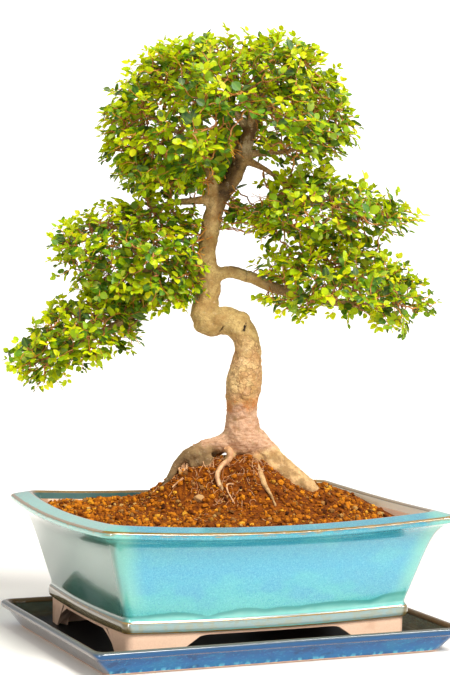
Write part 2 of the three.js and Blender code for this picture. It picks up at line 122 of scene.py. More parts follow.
def clamped(value: float, low: float = 0.0, high: float = 1.0) -> float:
    """The value, kept between two limits."""
    return min(max(value, low), high)


def eased_step(value: float, start: float, end: float) -> float:
    """Rises smoothly from 0 at the start to 1 at the end."""
    share = clamped((value - start) / (end - start))
    return share * share * (3 - 2 * share)


def softened(path: Sequence[Pair], rounds: int = 2) -> list[Vector]:
    """A path with its corners cut off, so that it bends softly.

    Args:
        path: The path's points.
        rounds: How often its corners are cut.

    Returns:
        The softer path.
    """
    points = [Vector(point) for point in path]
    for _ in range(rounds):
        cut = [a.lerp(b, share) for a, b in zip(points, points[1:]) for share in (0.25, 0.75)]
        points = [points[0], *cut, points[-1]]
    return points


def blend(low: float, high: float, share: float) -> float:
    """A number between two others."""
    return low + (high - low) * share


def bent(start: Sequence[float], bend: Sequence[float], end: Sequence[float], t: float) -> tuple:
    """The point a share t along a curve from the start to the end, drawn towards the bend."""
    return tuple(
        (1 - t) ** 2 * a + 2 * t * (1 - t) * b + t * t * c for a, b, c in zip(start, bend, end)
    )


def off_line(point: Vector, start: Vector, end: Vector) -> Pair:
    """How far along a line the place nearest to a point is, 0 to 1, and how far off it lies."""
    run = end - start
    share = clamped((point - start).dot(run) / run.length_squared)
    return share, (point - start - run * share).length


def jitter(rng: random.Random, spread: float) -> Vector:
    """A random vector, with each part drawn from a bell curve."""
    return Vector([rng.gauss(0, spread) for _ in range(3)])


# Shader graphs


def _math_node(operation: str, turned: bool = False) -> Callable[..., "Value"]:
    """A method of Value that adds a Math node.

    Args:
        operation: The node's operation.
        turned: True where the value comes after the other operand, as in 1 - value.

    Returns:
        The method.
    """

    def method(self: "Value", *others: "Value | float") -> "Value":
        """The result of the operation."""
        operands = (*others, self) if turned else (self, *others)
        return self.graph.add("Math", {"operation": operation}, dict(enumerate(operands)))

    return method


class Value:
    """A socket of a shader tree that stands in Python for the number or colour it carries."""

    def __init__(self, graph: "Graph", socket: NodeSocket) -> None:
        """Keeps the graph and its socket."""
        self.graph = graph
        self.socket = socket

    __add__ = __radd__ = _math_node("ADD")
    __sub__ = _math_node("SUBTRACT")
    __rsub__ = _math_node("SUBTRACT", turned=True)
    __mul__ = __rmul__ = _math_node("MULTIPLY")
    __truediv__ = _math_node("DIVIDE")
    __abs__ = _math_node("ABSOLUTE")
    most = _math_node("MAXIMUM")

    def rise(self, start: float, end: float) -> "Value":
        """Goes smoothly from 0 at the start to 1 at the end, or back where the end is lower."""
        sockets = {"Value": self, "From Min": min(start, end), "From Max": max(start, end)}
        if end < start:
            sockets |= {"To Min": 1.0, "To Max": 0.0}
        return self.graph.add("MapRange", {"interpolation_type": "SMOOTHSTEP"}, sockets)


class Graph:
    """The node tree of one material. Its patterns read Object coordinates in millimetres."""

    def __init__(self, name: str) -> None:
        """Starts an empty material of that name."""
        self.material = bpy.data.materials.new(name)
        self.material.use_nodes = True
        self.tree = self.material.node_tree
        self.tree.nodes.clear()
        metres = self.add("TexCoord", output="Object")
        self.place = self._vectors("MULTIPLY", metres, (1 / MM,) * 3)

    def add(
        self, kind: str, settings: Mapping[str, object] | None = None,
        sockets: Mapping[int | str, object] | None = None, output: str | None = None,
    ) -> Value:
        """Adds one shader node.

        Args:
            kind: The node's type, without its prefix ShaderNode.
            settings: Its own settings, set first. "stops" are a ramp's (position, colour) pairs.
            sockets: A value or a link for each named or numbered input.
            output: The name of the output to read, or the first that is in use.

        Returns:
            The output as a value.
        """
        node = self.tree.nodes.new("ShaderNode" + kind)
        for name, setting in (settings or {}).items():
            if name == "stops":
                self._set_stops(node.color_ramp, setting)
            elif name == "interpolation":
                node.color_ramp.interpolation = setting
            else:
                setattr(node, name, setting)
        for key, value in (sockets or {}).items():
            if isinstance(key, int):
                socket = node.inputs[key]
            else:
                socket = next(s for s in node.inputs if s.name == key and s.enabled)
            if isinstance(value, Value):
                self.tree.links.new(value.socket, socket)
            elif socket.type == "RGBA":
                socket.default_value = (*value[:3], 1.0)
            else:
                socket.default_value = value
        outputs = [s for s in node.outputs if s.enabled and output in (None, s.name)]
        return Value(self, outputs[0] if outputs else None)

    @staticmethod
    def _set_stops(ramp: ColorRamp, stops: Sequence[tuple]) -> None:
        """Gives a ramp its stops.

        Args:
            ramp: The ramp.
            stops: Its (position, colour) pairs.
        """
        while len(ramp.elements) < len(stops):
            ramp.elements.new(0.5)
        for element, (position, colour) in zip(ramp.elements, stops):
            element.position = position
            element.color = (*colour, 1.0)

    def _vectors(self, operation: str, first: Value, second: object) -> Value:
        """A Vector Math node on two vectors."""
        return self.add("VectorMath", {"operation": operation}, {0: first, 1: second})

    def axis(self, name: str, vector: Value | None = None) -> Value:
        """The X, Y or Z of a vector, or of the place."""
        return self.add("SeparateXYZ", None, {"Vector": vector or self.place}, output=name)

    def attribute(self, name: str) -> Value:
        """A number that the mesh carries."""
        return self.add("Attribute", {"attribute_name": name}, output="Fac")

    def stretched(self, factors: Triple, shift: float = 0.0) -> Value:
        """The place, stretched along each axis and shifted."""
        return self._vectors("ADD", self._vectors("MULTIPLY", self.place, factors), (shift,) * 3)

    def warped(self, amount: float, size: float) -> Value:
        """The place, moved about by noise.

        Args:
            amount: How far it is moved, in millimetres.
            size: How large the noise's swirls are, in millimetres.

        Returns:
            The moved place.
        """
        sockets = {"Vector": self.place, "Scale": 1 / size, "Detail": 1.0}
        swirl = self.add("TexNoise", None, sockets, output="Color")
        return self._vectors("ADD", self.place, self._vectors("MULTIPLY", swirl, (amount,) * 3))

    def noise(
        self, size: float, detail: float = 2.0, roughness: float = 0.5,
        stretch: Triple = (1, 1, 1), shift: float = 0.0,
    ) -> Value:
        """Soft noise from 0 to 1.

        Args:
            size: How large its marks are, in millimetres.
            detail: How many finer layers it has.
            roughness: How strong those layers are.
            stretch: How much finer it is along each axis.
            shift: Where it starts, so that two noises differ.

        Returns:
            The noise.
        """
        place = self.stretched(stretch, shift)
        sockets = {"Vector": place, "Scale": 1 / size, "Detail": detail, "Roughness": roughness}
        return self.add("TexNoise", None, sockets, output="Fac")

    def cells(
        self, size: float, feature: str = "F1", output: str = "Distance", at: "Value | None" = None
    ) -> Value:
        """A pattern of irregular cells of about one size, in millimetres."""
        sockets = {"Vector": at or self.place, "Scale": 1 / size}
        return self.add("TexVoronoi", {"feature": feature}, sockets, output=output)

    def ramp(self, value: Value, stops: Sequence[tuple], interpolation: str = "LINEAR") -> Value:
        """A colour ramp over (position, colour) stops."""
        settings = {"stops": stops, "interpolation": interpolation}
        return self.add("ValToRGB", settings, {"Fac": value}, output="Color")

    def mix(self, factor: "Value | float", low: object, high: object, how: str = "MIX") -> Value:
        """A mix of two colours."""
        settings = {"data_type": "RGBA", "blend_type": how}
        return self.add("Mix", settings, {"Factor": factor, "A": low, "B": high})

    def coats(self, colour: object, *layers: tuple["Value | float", object]) -> Value:
        """A colour under further ones, each given as (how much of it shows, colour)."""
        for share, over in layers:
            colour = self.mix(share, colour, over)
        return colour

    def mottled(self, dark: object, pale: object, *size: float, **more: object) -> Value:
        """A colour between two tones, mixed by noise. The other arguments are the noise's."""
        return self.mix(self.noise(*size, **more), dark, pale)

    def bump(self, height: Value, depth: float, strength: float = 1.0) -> Value:
        """A relief whose full height is a depth in millimetres."""
        sockets = {"Height": height, "Distance": depth * MM, "Strength": strength}
        return self.add("Bump", None, sockets)

    def surface(self, **sockets: object) -> Value:
        """A Principled shader. Words in a socket's name are joined by underscores."""
        named = {name.replace("_", " "): value for name, value in sockets.items()}
        return self.add("BsdfPrincipled", None, named)


# Finishes


class Finish:
    """What a thing is dressed in: one procedural material."""

    name: str
    slot: Slot

    def paint(self, graph: Graph) -> Value:
        """Adds the finish's nodes to a graph.

        Args:
            graph: The new material's graph.

        Returns:
            The shader.
        """
        raise NotImplementedError

    def material(self) -> Material:
        """The finish as a new material."""
        graph = Graph(self.name)
        graph.add("OutputMaterial", None, {"Surface": self.paint(graph)})
        return graph.material


@dataclass(frozen=True)
class PotGlaze(Finish):
    """Speckled aqua glaze that ran down, broke brown on the edges and left the feet bare."""

    name: str = "aqua_glaze"
    slot: Slot = Slot.POT
    run_heights: tuple[Pair, ...] = (
        (-105, 41.6), (-80, 44.8), (-60, 38.9), (-51, 38.3), (-29.5, 45), (-8, 41.3), (23, 43.5),
        (49, 45.2), (76, 43.6), (87, 43), (99, 47.2), (117, 48.6),
    )
    half_length: float = 150.0
    run_scale: float = 60.0

    def run_line(self, graph: Graph) -> Value:
        """The line that the thick glaze ran down to.

        Args:
            graph: The material's graph.

        Returns:
            The height, in millimetres.
        """
        stops = [
            ((x + self.half_length) / (2 * self.half_length), (height / self.run_scale,) * 3)
            for x, height in self.run_heights
        ]
        along = graph.axis("X") / (2 * self.half_length) + 0.5
        front = graph.axis("X", graph.ramp(along, stops, "B_SPLINE")) * self.run_scale
        return front + graph.noise(22, 1.0, shift=40) * 3 - 1.5

    @staticmethod
    def _wall(graph: Graph, height: Value, speck: Value) -> Value:
        """The thick glaze of the wall: a hazy blue middle, greener ends, and specks.

        Args:
            graph: The material's graph.
            height: How high a point is, in millimetres.
            speck: The noise of the glaze's specks.

        Returns:
            The colour.
        """
        cloud = graph.noise(38, 2.0, stretch=(1, 1, 1.6), shift=13)
        fine = graph.noise(0.55, 1.0, shift=7)
        hazy = height.rise(42, 50) * height.rise(80, 58)
        # The bands darken towards the top of the wall, under the rim's overhang: painted shade of
        # the rim.
        bands = [
            (0.0, tone(86, 182, 176)), (0.25, tone(72, 168, 178)), (0.5, tone(66, 158, 187)),
            (0.75, tone(66, 157, 182)), (0.87, tone(48, 144, 160)), (0.95, tone(40, 130, 148)),
            (1.0, tone(50, 134, 154)),
        ]
        return graph.coats(
            graph.ramp((height - 40) / 72, bands),
            (cloud.rise(0.44, 0.62) * hazy * 0.35, tone(58, 132, 188)),
            (cloud.rise(0.5, 0.3) * 0.3, tone(92, 184, 176)),
            (speck.rise(0.52, 0.64) * 0.45, tone(112, 196, 212)),
            (speck.rise(0.46, 0.38) * 0.45, tone(36, 120, 172)),
            (fine.rise(0.7, 0.76) * 0.6, tone(24, 84, 116)),
        )

    def _outside(self, graph: Graph, height: Value, along: Value, speck: Value) -> Value:
        """The outer glaze.

        Args:
            graph: The material's graph.
            height: How high a point is, in millimetres.
            along: Where it is along the pot's length, in millimetres.
            speck: The noise of the glaze's specks.

        Returns:
            The thin glaze under the run line, the wall above it, what the glaze does at the ends, a
            grey on the base moulding that is partly staining and partly painted reflection, and
            painted shade on the short sides, with brown on their moulding.
        """
        edge = height - self.run_line(graph)
        dark_run = edge.rise(-4.2, -0.6) * edge.rise(1.4, 0.2)
        end = abs(along) - height * 0.28 - 110.6
        moulding = height.rise(28.2, 29.4) * height.rise(37.6, 36.4)
        # The short sides are painted darker and murkier: painted shade, as on the side that faces
        # away from the light.
        side = end.rise(-2.5, 1.0) * height.rise(106, 101)
        # The moulding's grey, mottled with brown, is partly staining of the glaze and partly
        # painted reflection of the bright surround.
        stain_and_sheen = graph.noise(7, 3.0, shift=8).rise(0.42, 0.62)
        return graph.coats(
            graph.mottled(tone(92, 172, 166), tone(122, 190, 182), 9, 2.0),
            (edge.rise(-0.6, 0.9), self._wall(graph, height, speck)),
            (dark_run * 0.8, tone(48, 138, 136)),
            (end.rise(-22, -4) * height.rise(38, 60) * 0.55, tone(128, 196, 166)),
            # Moulding: partly stained glaze, partly painted reflection.
            (moulding * 0.75, graph.mix(stain_and_sheen, tone(134, 142, 146), tone(142, 132, 116))),
            # Painted shade on the short sides.
            (side * 0.8, graph.mottled(tone(24, 66, 62), tone(70, 96, 74), 12, 3.0, shift=4)),
            (side * moulding * 0.7, tone(116, 92, 44)),
        )

    def paint(self, graph: Graph) -> Value:
        """The glaze and the bare clay, told apart by the mesh's own numbers."""
        height, along, deep = (graph.axis(name) for name in "ZXY")
        speck = graph.noise(1.1, 3.0, 0.7)
        ragged = graph.noise(2.6, 3.0, stretch=(0.3, 0.3, 1))
        broken = (graph.attribute("wear") + ragged * 0.5).rise(0.74, 0.98)
        # The lining is dark teal glaze that turns pale cream towards the right end. That cream is
        # partly the glaze and partly painted reflection on the right inner wall.
        lining = graph.coats(
            graph.mottled(tone(16, 70, 90), tone(62, 112, 90), 14, 3.0, stretch=(1, 1, 0.5)),
            (along.rise(100, 122), graph.mix(speck, tone(228, 216, 184), tone(252, 238, 212))),
        )
        glaze = graph.coats(
            self._outside(graph, height, along, speck),
            (graph.attribute("inside"), lining),
            (broken, graph.mix(ragged, tone(92, 66, 26), tone(154, 124, 62))),
        )
        corner = (abs(along) - 119.5).rise(-1, 1.6) * (abs(deep) - 90).rise(-2, 0.6)
        clay = graph.coats(
            graph.mottled(tone(222, 178, 146), tone(250, 216, 188), 1.3, 4.0, 0.7),
            (graph.noise(18, 2.0, shift=3).rise(0.55, 0.75) * 0.4, tone(200, 146, 108)),
            (corner * 0.7, tone(150, 96, 50)),
        )
        covered = graph.attribute("glaze") + graph.noise(3, 2.0) * 0.3
        lip = covered.rise(0.55, 0.72)
        scorch = lip * (1 - covered.rise(0.72, 0.95))
        pits = graph.cells(5.2).rise(0.1, 0.0) * graph.noise(14, 1.0, shift=60).rise(0.6, 0.75)
        relief = graph.noise(7, 2.0) * 0.5 - pits * 0.5 + (1 - lip) * graph.noise(0.9, 3.0) * 0.5
        return graph.surface(
            Base_Color=graph.coats(clay, (lip, glaze), (scorch * 0.8, tone(128, 96, 60))),
            Roughness=0.64 - lip * 0.48 + speck * 0.05, Normal=graph.bump(relief, 0.25, 0.6),
            Coat_Weight=lip, Coat_Roughness=0.1,
        )


@dataclass(frozen=True)
class TrayGlaze(Finish):
    """Streaked blue glaze with a lavender lip, brown breaks and a dark inside."""

    name: str = "blue_glaze"
    slot: Slot = Slot.TRAY

    @staticmethod
    def _outside(graph: Graph, height: Value) -> Value:
        """The blue outside, streaked under the bead, with grey-brown ends that are partly wear and
        partly painted reflection, and pale drips at its foot.

        Args:
            graph: The material's graph.
            height: How high a point is, in millimetres.

        Returns:
            The colour.
        """
        along = graph.axis("X")
        streak = graph.noise(24, 3.0, 0.6, stretch=(1, 1, 2.2), shift=5)
        fleck = graph.noise(1.6, 3.0, 0.7, stretch=(0.5, 0.5, 1))
        drip = graph.noise(5, 2.0, stretch=(1, 1, 0.2), shift=20).rise(0.52, 0.64)
        below_bead = height.rise(15.5, 13)
        # The short ends, more on the left, are painted a pale grey-brown: partly wear of the glaze,
        # partly painted reflection.
        side = (abs(along) - height - 140.6).rise(-4, -0.5) * (along.rise(40, -40) * 0.35 + 0.3)
        bands = [
            (0.0, tone(4, 100, 150)), (0.16, tone(4, 102, 156)), (0.45, tone(2, 82, 140)),
            (0.7, tone(4, 70, 120)), (0.86, tone(14, 72, 118)), (0.95, tone(74, 84, 88)),
            (1.0, tone(92, 90, 78)),
        ]
        return graph.coats(
            graph.ramp(height / 21.4, bands),
            (streak.rise(0.5, 0.66) * below_bead * 0.7, tone(4, 106, 150)),
            (streak.rise(0.46, 0.3) * below_bead * 0.6, tone(2, 44, 86)),
            (fleck.rise(0.54, 0.68) * below_bead * 0.4, tone(36, 140, 186)),
            # Pale grey-brown ends: partly wear, partly painted reflection.
            (side, tone(150, 132, 104)),
            (drip * height.rise(5.5, 1) * 0.9, tone(96, 196, 216)),
        )

    def paint(self, graph: Graph) -> Value:
        """The glaze and the bare clay under it."""
        height = graph.axis("Z")
        inside = graph.attribute("inside")
        ragged = graph.noise(2.4, 3.0, stretch=(0.3, 0.3, 1))
        broken = (graph.attribute("wear") + ragged * 0.5).rise(0.72, 0.98)
        olive = graph.mottled(tone(40, 34, 18), tone(84, 72, 44), 5, 3.0, stretch=(0.4, 0.4, 1))
        dark = graph.mottled(tone(4, 4, 4), tone(16, 14, 10), 8, 3.0)
        glaze = graph.coats(
            self._outside(graph, height),
            (inside.rise(0.4, 0.6), graph.mix(height.rise(5.6, 9.0), dark, olive)),
            (broken, tone(104, 74, 40)),
        )
        clay = graph.mottled(tone(216, 172, 142), tone(246, 212, 186), 1.3, 4.0, 0.7)
        covered = (graph.attribute("glaze") + graph.noise(3, 2.0) * 0.3).rise(0.5, 0.7)
        return graph.surface(
            Base_Color=graph.mix(covered, clay, glaze),
            Roughness=0.62 - covered * 0.5 + inside * height.rise(12, 7) * 0.4,
            Normal=graph.bump(graph.noise(6, 3.0), 0.2, 0.6), Specular_IOR_Level=0.25,
            Coat_Weight=covered * (0.42 - inside * height.rise(15, 8) * 0.42), Coat_Roughness=0.05,
        )


@dataclass(frozen=True)
class Bark(Finish):
    """Tan elm bark with pinkish, grey and brown stretches, flakes and cracks."""

    name: str = "elm_bark"
    slot: Slot = Slot.BARK
    wetness: Triple = (0.82, 0.85, 0.78)

    def paint(self, graph: Graph) -> Value:
        """Bark whose colour follows its height, its thickness and the cracks cut in the mesh, with
        painted shade in those cracks.
        """
        height = graph.axis("Z")
        across = graph.axis("X") * 0.917 - graph.axis("Y") * 0.399
        level = height + graph.noise(26, 2.0, shift=50) * 26 - 13
        patch = graph.noise(12, 3.0, 0.6)
        grain = graph.noise(1.3, 4.0, 0.7, shift=9)
        mottle = graph.noise(4.2, 5.0, 0.75, shift=90)
        lichen = graph.noise(5, 3.0, 0.6, shift=31).rise(0.56, 0.7)
        wrinkle = graph.noise(3.2, 3.0, 0.6, stretch=(0.55, 0.55, 1.9), shift=23)
        knob = graph.cells(2.1, at=graph.warped(1.6, 1.6))
        warped = graph.warped(6.0, 5.0)
        plate = graph.axis("X", graph.cells(5.4, output="Color", at=warped))
        plate_edge = graph.cells(5.4, "DISTANCE_TO_EDGE", at=warped)
        plated = level.rise(196, 206) * level.rise(264, 246)
        rough = plated.most(patch.rise(0.44, 0.62) * level.rise(176, 200) * 0.7)
        greenish = level.rise(236, 256) * level.rise(350, 330)
        limb = across.rise(16, 26) * height.rise(255, 265) * height.rise(322, 312)
        smooth = level.rise(152, 166) * level.rise(200, 192)
        banded = level.rise(189, 195) * level.rise(208, 201)
        # The left root is painted darker, and darker again low down: partly its own olive-grey
        # bark, partly painted shade on the trunk's shaded left side and under the root.
        left_root = across.rise(2, -14) * level.rise(168, 158)
        # The upper trunk is painted darker: partly its older bark, partly painted shade under the
        # crown.
        upper = height.rise(335, 375) * (across.rise(-13, -8) * 0.85 + 0.15)
        shaded = height.rise(362, 374) * height.rise(406, 394) * across.rise(-12, -9)
        shaded = shaded * (across - height * 0.33).rise(-120, -125)
        slender = graph.attribute("thick").rise(9.0, 4.5) * height.rise(150, 200)
        seams = plate_edge.rise(0.055, 0.0) * rough * graph.noise(8, 2.0, shift=61).rise(0.4, 0.55)
        pores = graph.cells(2.6).rise(0.15, 0.05) * graph.noise(7, 1.0, shift=77).rise(0.45, 0.6)

        pink = graph.mix(wrinkle.rise(0.36, 0.6), tone(188, 134, 104), tone(222, 174, 150))
        tan = graph.mix(patch.rise(0.34, 0.66), tone(196, 146, 88), tone(240, 204, 146))
        olive = graph.mix(patch.rise(0.3, 0.65), tone(166, 128, 70), tone(212, 178, 112))
        earthy = graph.mix(patch.rise(0.4, 0.6), tone(150, 114, 68), tone(214, 166, 116))
        # Darker grey-brown of the upper trunk: partly older bark, partly painted shade under the
        # crown.
        old_bark_and_crown_shade = graph.mix(patch.rise(0.42, 0.58), tone(66, 42, 18), tone(176, 136, 84))
        thin = graph.mix(grain.rise(0.4, 0.6), tone(136, 92, 46), tone(206, 158, 100))
        tip = graph.mix(patch, tone(44, 34, 18), tone(112, 92, 58))
        bark = graph.coats(
            tan,
            (plate * rough * 0.6, tone(238, 184, 138)),
            (greenish * 0.75, olive),
            (limb * patch.rise(0.4, 0.6) * 0.7, tone(146, 110, 76)),
            (smooth * 0.85, pink),
            (banded * patch.rise(0.4, 0.54) * 0.8, tone(206, 122, 52)),
            (level.rise(160, 144) * 0.8, earthy),
            # Left root: partly its olive-grey bark, partly painted shade.
            (left_root * 0.9, graph.mix(patch, tone(70, 50, 26), tone(158, 122, 78))),
            (left_root * height.rise(144, 130) * 0.8, tip),
            (lichen * 0.35, tone(160, 144, 92)),
            # Painted shade under the crown on the upper trunk, over its older bark.
            (upper * 0.8, old_bark_and_crown_shade),
            (height.rise(398, 408) * patch.rise(0.42, 0.56) * 0.6, tone(206, 188, 164)),
            (shaded * 0.75, tone(50, 30, 10)),
            (slender * 0.7, thin),
            (grain.rise(0.48, 0.36) * 0.35, tone(140, 92, 46)),
            (mottle.rise(0.48, 0.34) * 0.45, tone(142, 104, 62)),
            (mottle.rise(0.56, 0.7) * 0.4, tone(240, 208, 176)),
            (knob.rise(0.42, 0.72) * rough * 0.25, tone(150, 100, 50)),
            (seams * 0.7, tone(116, 70, 30)),
            (pores * 0.5, tone(110, 68, 34)),
            # Painted shade in the cracks and gashes, darkest where they cut deepest.
            (graph.attribute("crack").rise(0.1, 0.9), tone(46, 27, 13)),
        )
        relief = grain * 0.4 + plate_edge.rise(0.0, 0.1) * rough * 0.35 + plate * rough * 0.25
        relief = relief + mottle * 0.5 + wrinkle * smooth * 0.35
        relief = relief - pores * 0.4 - knob * (0.15 + rough * 0.35)
        return graph.surface(
            Base_Color=graph.mix(1.0, bark, self.wetness, "MULTIPLY"),
            Roughness=0.72 + grain * 0.15, Normal=graph.bump(relief, 1.1, 0.9),
            Specular_IOR_Level=0.3,
        )


@dataclass(frozen=True)
class SoilFinish(Finish):
    """Dry brown soil with ochre, orange and dark crumbs."""

    name: str = "potting_soil"
    slot: Slot = Slot.SOIL

    def paint(self, graph: Graph) -> Value:
        """Soil whose crumbs each carry their own tint."""
        tints = [
            (0.0, tone(52, 22, 2)), (0.2, tone(108, 52, 5)), (0.4, tone(150, 82, 10)),
            (0.56, tone(178, 104, 16)), (0.7, tone(204, 124, 20)), (0.82, tone(222, 146, 28)),
            (0.9, tone(228, 166, 48)), (0.93, tone(112, 72, 34)), (0.97, tone(168, 120, 62)),
            (1.0, tone(206, 166, 96)),
        ]
        crumb = graph.ramp(graph.attribute("tint"), tints)
        grain = graph.noise(0.8, 4.0, 0.7)
        relief = grain + graph.noise(0.35, 2.0) * 0.5
        return graph.surface(
            Base_Color=graph.mix(grain.rise(0.55, 0.35) * 0.5, crumb, tone(84, 40, 10)),
            Roughness=0.9, Normal=graph.bump(relief, 0.35, 0.9), Specular_IOR_Level=0.08,
        )


@dataclass(frozen=True)
class StoneFinish(Finish):
    """A pale, rough pebble."""

    name: str = "pale_pebble"
    slot: Slot = Slot.PEBBLE

    def paint(self, graph: Graph) -> Value:
        """Sandy stone with grains."""
        grain = graph.noise(0.9, 4.0, 0.7)
        colour = graph.coats(
            graph.mix(grain, tone(146, 102, 50), tone(202, 158, 96)),
            (graph.noise(3, 2.0).rise(0.55, 0.7) * 0.5, tone(140, 96, 48)),
        )
        return graph.surface(Base_Color=colour, Roughness=0.85, Normal=graph.bump(grain, 0.4))


@dataclass(frozen=True)
class LeafFinish(Finish):
    """Small glossy leaves, from dark green through lime to yellow at the tips of new shoots."""

    name: str = "elm_leaf"
    slot: Slot = Slot.FOLIAGE
    translucence: Pair = (0.22, 0.56)
    glow: Triple = tone(232, 238, 10)

    def paint(self, graph: Graph) -> Value:
        """Leaves whose age and tint come from the mesh."""
        age, tint, vein = (graph.attribute(name) for name in ("age", "tint", "vein"))
        # The palest, greyish stop at the top of this ramp is partly painted sheen on the leaves
        # that draw it.
        green = [
            (0.0, tone(4, 56, 14)), (0.22, tone(26, 96, 20)), (0.45, tone(92, 150, 14)),
            (0.7, tone(180, 210, 12)), (0.92, tone(218, 230, 26)), (1.0, tone(186, 208, 96)),
        ]
        young = [(0.0, tone(198, 232, 4)), (0.5, tone(244, 250, 6)), (1.0, tone(255, 240, 20))]
        leaf = graph.coats(
            graph.ramp(tint, green),
            (age.rise(0.3, 0.8), graph.ramp(tint, young)),
            (vein.rise(0.6, 0.95) * 0.25, tone(170, 200, 60)),
            (graph.attribute("under") * 0.25, tone(136, 164, 60)),
            (graph.noise(2.2, 2.0).rise(0.6, 0.75) * 0.25, tone(70, 104, 26)),
        )
        relief = graph.bump(graph.noise(1.6, 2.0) - vein * 0.6, 0.18, 0.7)
        blade = graph.surface(
            Base_Color=leaf, Roughness=0.42, Normal=relief, Specular_IOR_Level=0.25
        )
        through = graph.add("BsdfTranslucent", None, {"Color": self.glow})
        mature, fresh = self.translucence
        thin = tint.rise(0.2, 0.8).most(age.rise(0.2, 0.7)) * (fresh - mature) + mature
        return graph.add("MixShader", None, {0: thin, 1: blade, 2: through})


@dataclass(frozen=True)
class TwigFinish(Finish):
    """Thin bark, orange-brown on the shoots and browner on older wood."""

    name: str
    dark: Triple
    pale: Triple
    slot: Slot = Slot.BARK

    def paint(self, graph: Graph) -> Value:
        """Streaked thin bark."""
        patch = graph.noise(5, 3.0, 0.6).rise(0.3, 0.7)
        grain = graph.noise(0.7, 3.0, 0.6, shift=4)
        colour = graph.coats(
            graph.mix(patch, self.dark, self.pale), (grain.rise(0.5, 0.3) * 0.4, tone(70, 40, 20))
        )
        return graph.surface(Base_Color=colour, Roughness=0.65, Normal=graph.bump(grain, 0.2))


@dataclass(frozen=True)
class PlasticFinish(Finish):
    """Matt moulded plastic."""

    name: str = "black_plastic"
    slot: Slot = Slot.MESH

    def paint(self, graph: Graph) -> Value:
        """Black plastic with a fine moulded grain and some dried soil."""
        dust = graph.noise(4, 3.0).rise(0.55, 0.75)
        return graph.surface(
            Base_Color=graph.mix(dust * 0.5, tone(30, 32, 30), tone(96, 66, 38)),
            Roughness=0.5 + dust * 0.3, Normal=graph.bump(graph.noise(0.4, 2.0), 0.05),
        )


@dataclass(frozen=True)
class WireFinish(Finish):
    """Dull aluminium wire."""

    name: str = "dull_wire"
    slot: Slot = Slot.WIRE

    def paint(self, graph: Graph) -> Value:
        """Drawn wire with a dull skin."""
        haze = graph.noise(3, 3.0)
        return graph.surface(
            Base_Color=graph.mix(haze, tone(176, 178, 182), tone(206, 208, 210)), Metallic=1.0,
            Roughness=0.3 + haze * 0.25, Normal=graph.bump(graph.noise(0.3, 1.0), 0.03),
        )


@dataclass(frozen=True)
class FloorFinish(Finish):
    """A plain pale studio floor."""

    name: str = "pale_floor"
    colour: Triple = (0.97, 0.935, 0.885)
    shade: float = 0.99

    def paint(self, graph: Graph) -> Value:
        """Matt off-white, hardly uneven."""
        colour = graph.mottled(self.colour, tuple(c * self.shade for c in self.colour), 400, 1.0)
        return graph.surface(Base_Color=colour, Roughness=0.7, Specular_IOR_Level=0.2)


# Making pieces


def ended(bm: BMesh, name: str) -> Mesh:
    """Turns a bmesh, which is used up, into a mesh."""
    mesh = bpy.data.meshes.new(name)
    bm.to_mesh(mesh)
    bm.free()
    return mesh


def in_scene(name: str, data: ID) -> Object:
    """Puts a new object with that data in the scene."""
    thing = bpy.data.objects.new(name, data)
    bpy.context.scene.collection.objects.link(thing)
    return thing


def make_piece(
    name: str, shape: BMesh | Mesh, finish: Finish, stands_for: Sequence[str], sharp_degrees: float
) -> None:
    """Makes a dressed piece that rides on the part's one body.

    Args:
        name: The piece's name.
        shape: Its mesh in metres, or in millimetres as a bmesh, which is used up.
        finish: The finish it is dressed in.
        stands_for: The CAD nodes that it replaces.
        sharp_degrees: The angle from which an edge is drawn sharp, or 0 for flat faces.
    """
    mesh = shape
    if isinstance(shape, BMesh):
        bmesh.ops.scale(shape, vec=(MM, MM, MM), verts=shape.verts)
        mesh = ended(shape, name)
    mesh.polygons.foreach_set("use_smooth", [sharp_degrees > 0] * len(mesh.polygons))
    if sharp_degrees > 0:
        mesh.set_sharp_from_angle(angle=math.radians(sharp_degrees))
    piece = in_scene(name, mesh)
    mesh.materials.append(finish.material())
    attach(piece, BODY)
    if stands_for:
        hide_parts(*stands_for)
    log.info("%s: %d faces", name, len(mesh.polygons))


def merged_copy(node: str) -> BMesh:
    """A CAD node's mesh in millimetres, with its loose triangles joined.

    Args:
        node: The node's name.

    Returns:
        The new mesh.
    """
    bm = bmesh.new()
    bm.from_mesh(frame["nodes"][node].data)
    bmesh.ops.remove_doubles(bm, verts=bm.verts, dist=1e-6)
    bmesh.ops.scale(bm, vec=(1 / MM,) * 3, verts=bm.verts)
    return bm


def with_modifier(bm: BMesh, kind: str, **settings: object) -> BMesh:
    """Runs a modifier over a mesh and gives its result back.

    Args:
        bm: The mesh, which is used up.
        kind: The modifier's type.
        settings: Its settings.

    Returns:
        The new mesh.
    """
    draft = in_scene("draft", ended(bm, "draft"))
    modifier = draft.modifiers.new(kind, kind)
    for name, value in settings.items():
        setattr(modifier, name, value)
    shaped = draft.evaluated_get(bpy.context.evaluated_depsgraph_get()).to_mesh()
    result = bmesh.new()
    result.from_mesh(shaped)
    mesh = draft.data
    bpy.data.objects.remove(draft)
    bpy.data.meshes.remove(mesh)
    return result


@dataclass(frozen=True)
class Copy:
    """Where one copy of a small shape goes, and the numbers that it carries."""

    shape: int
    matrix: Matrix
    values: tuple[float, ...]


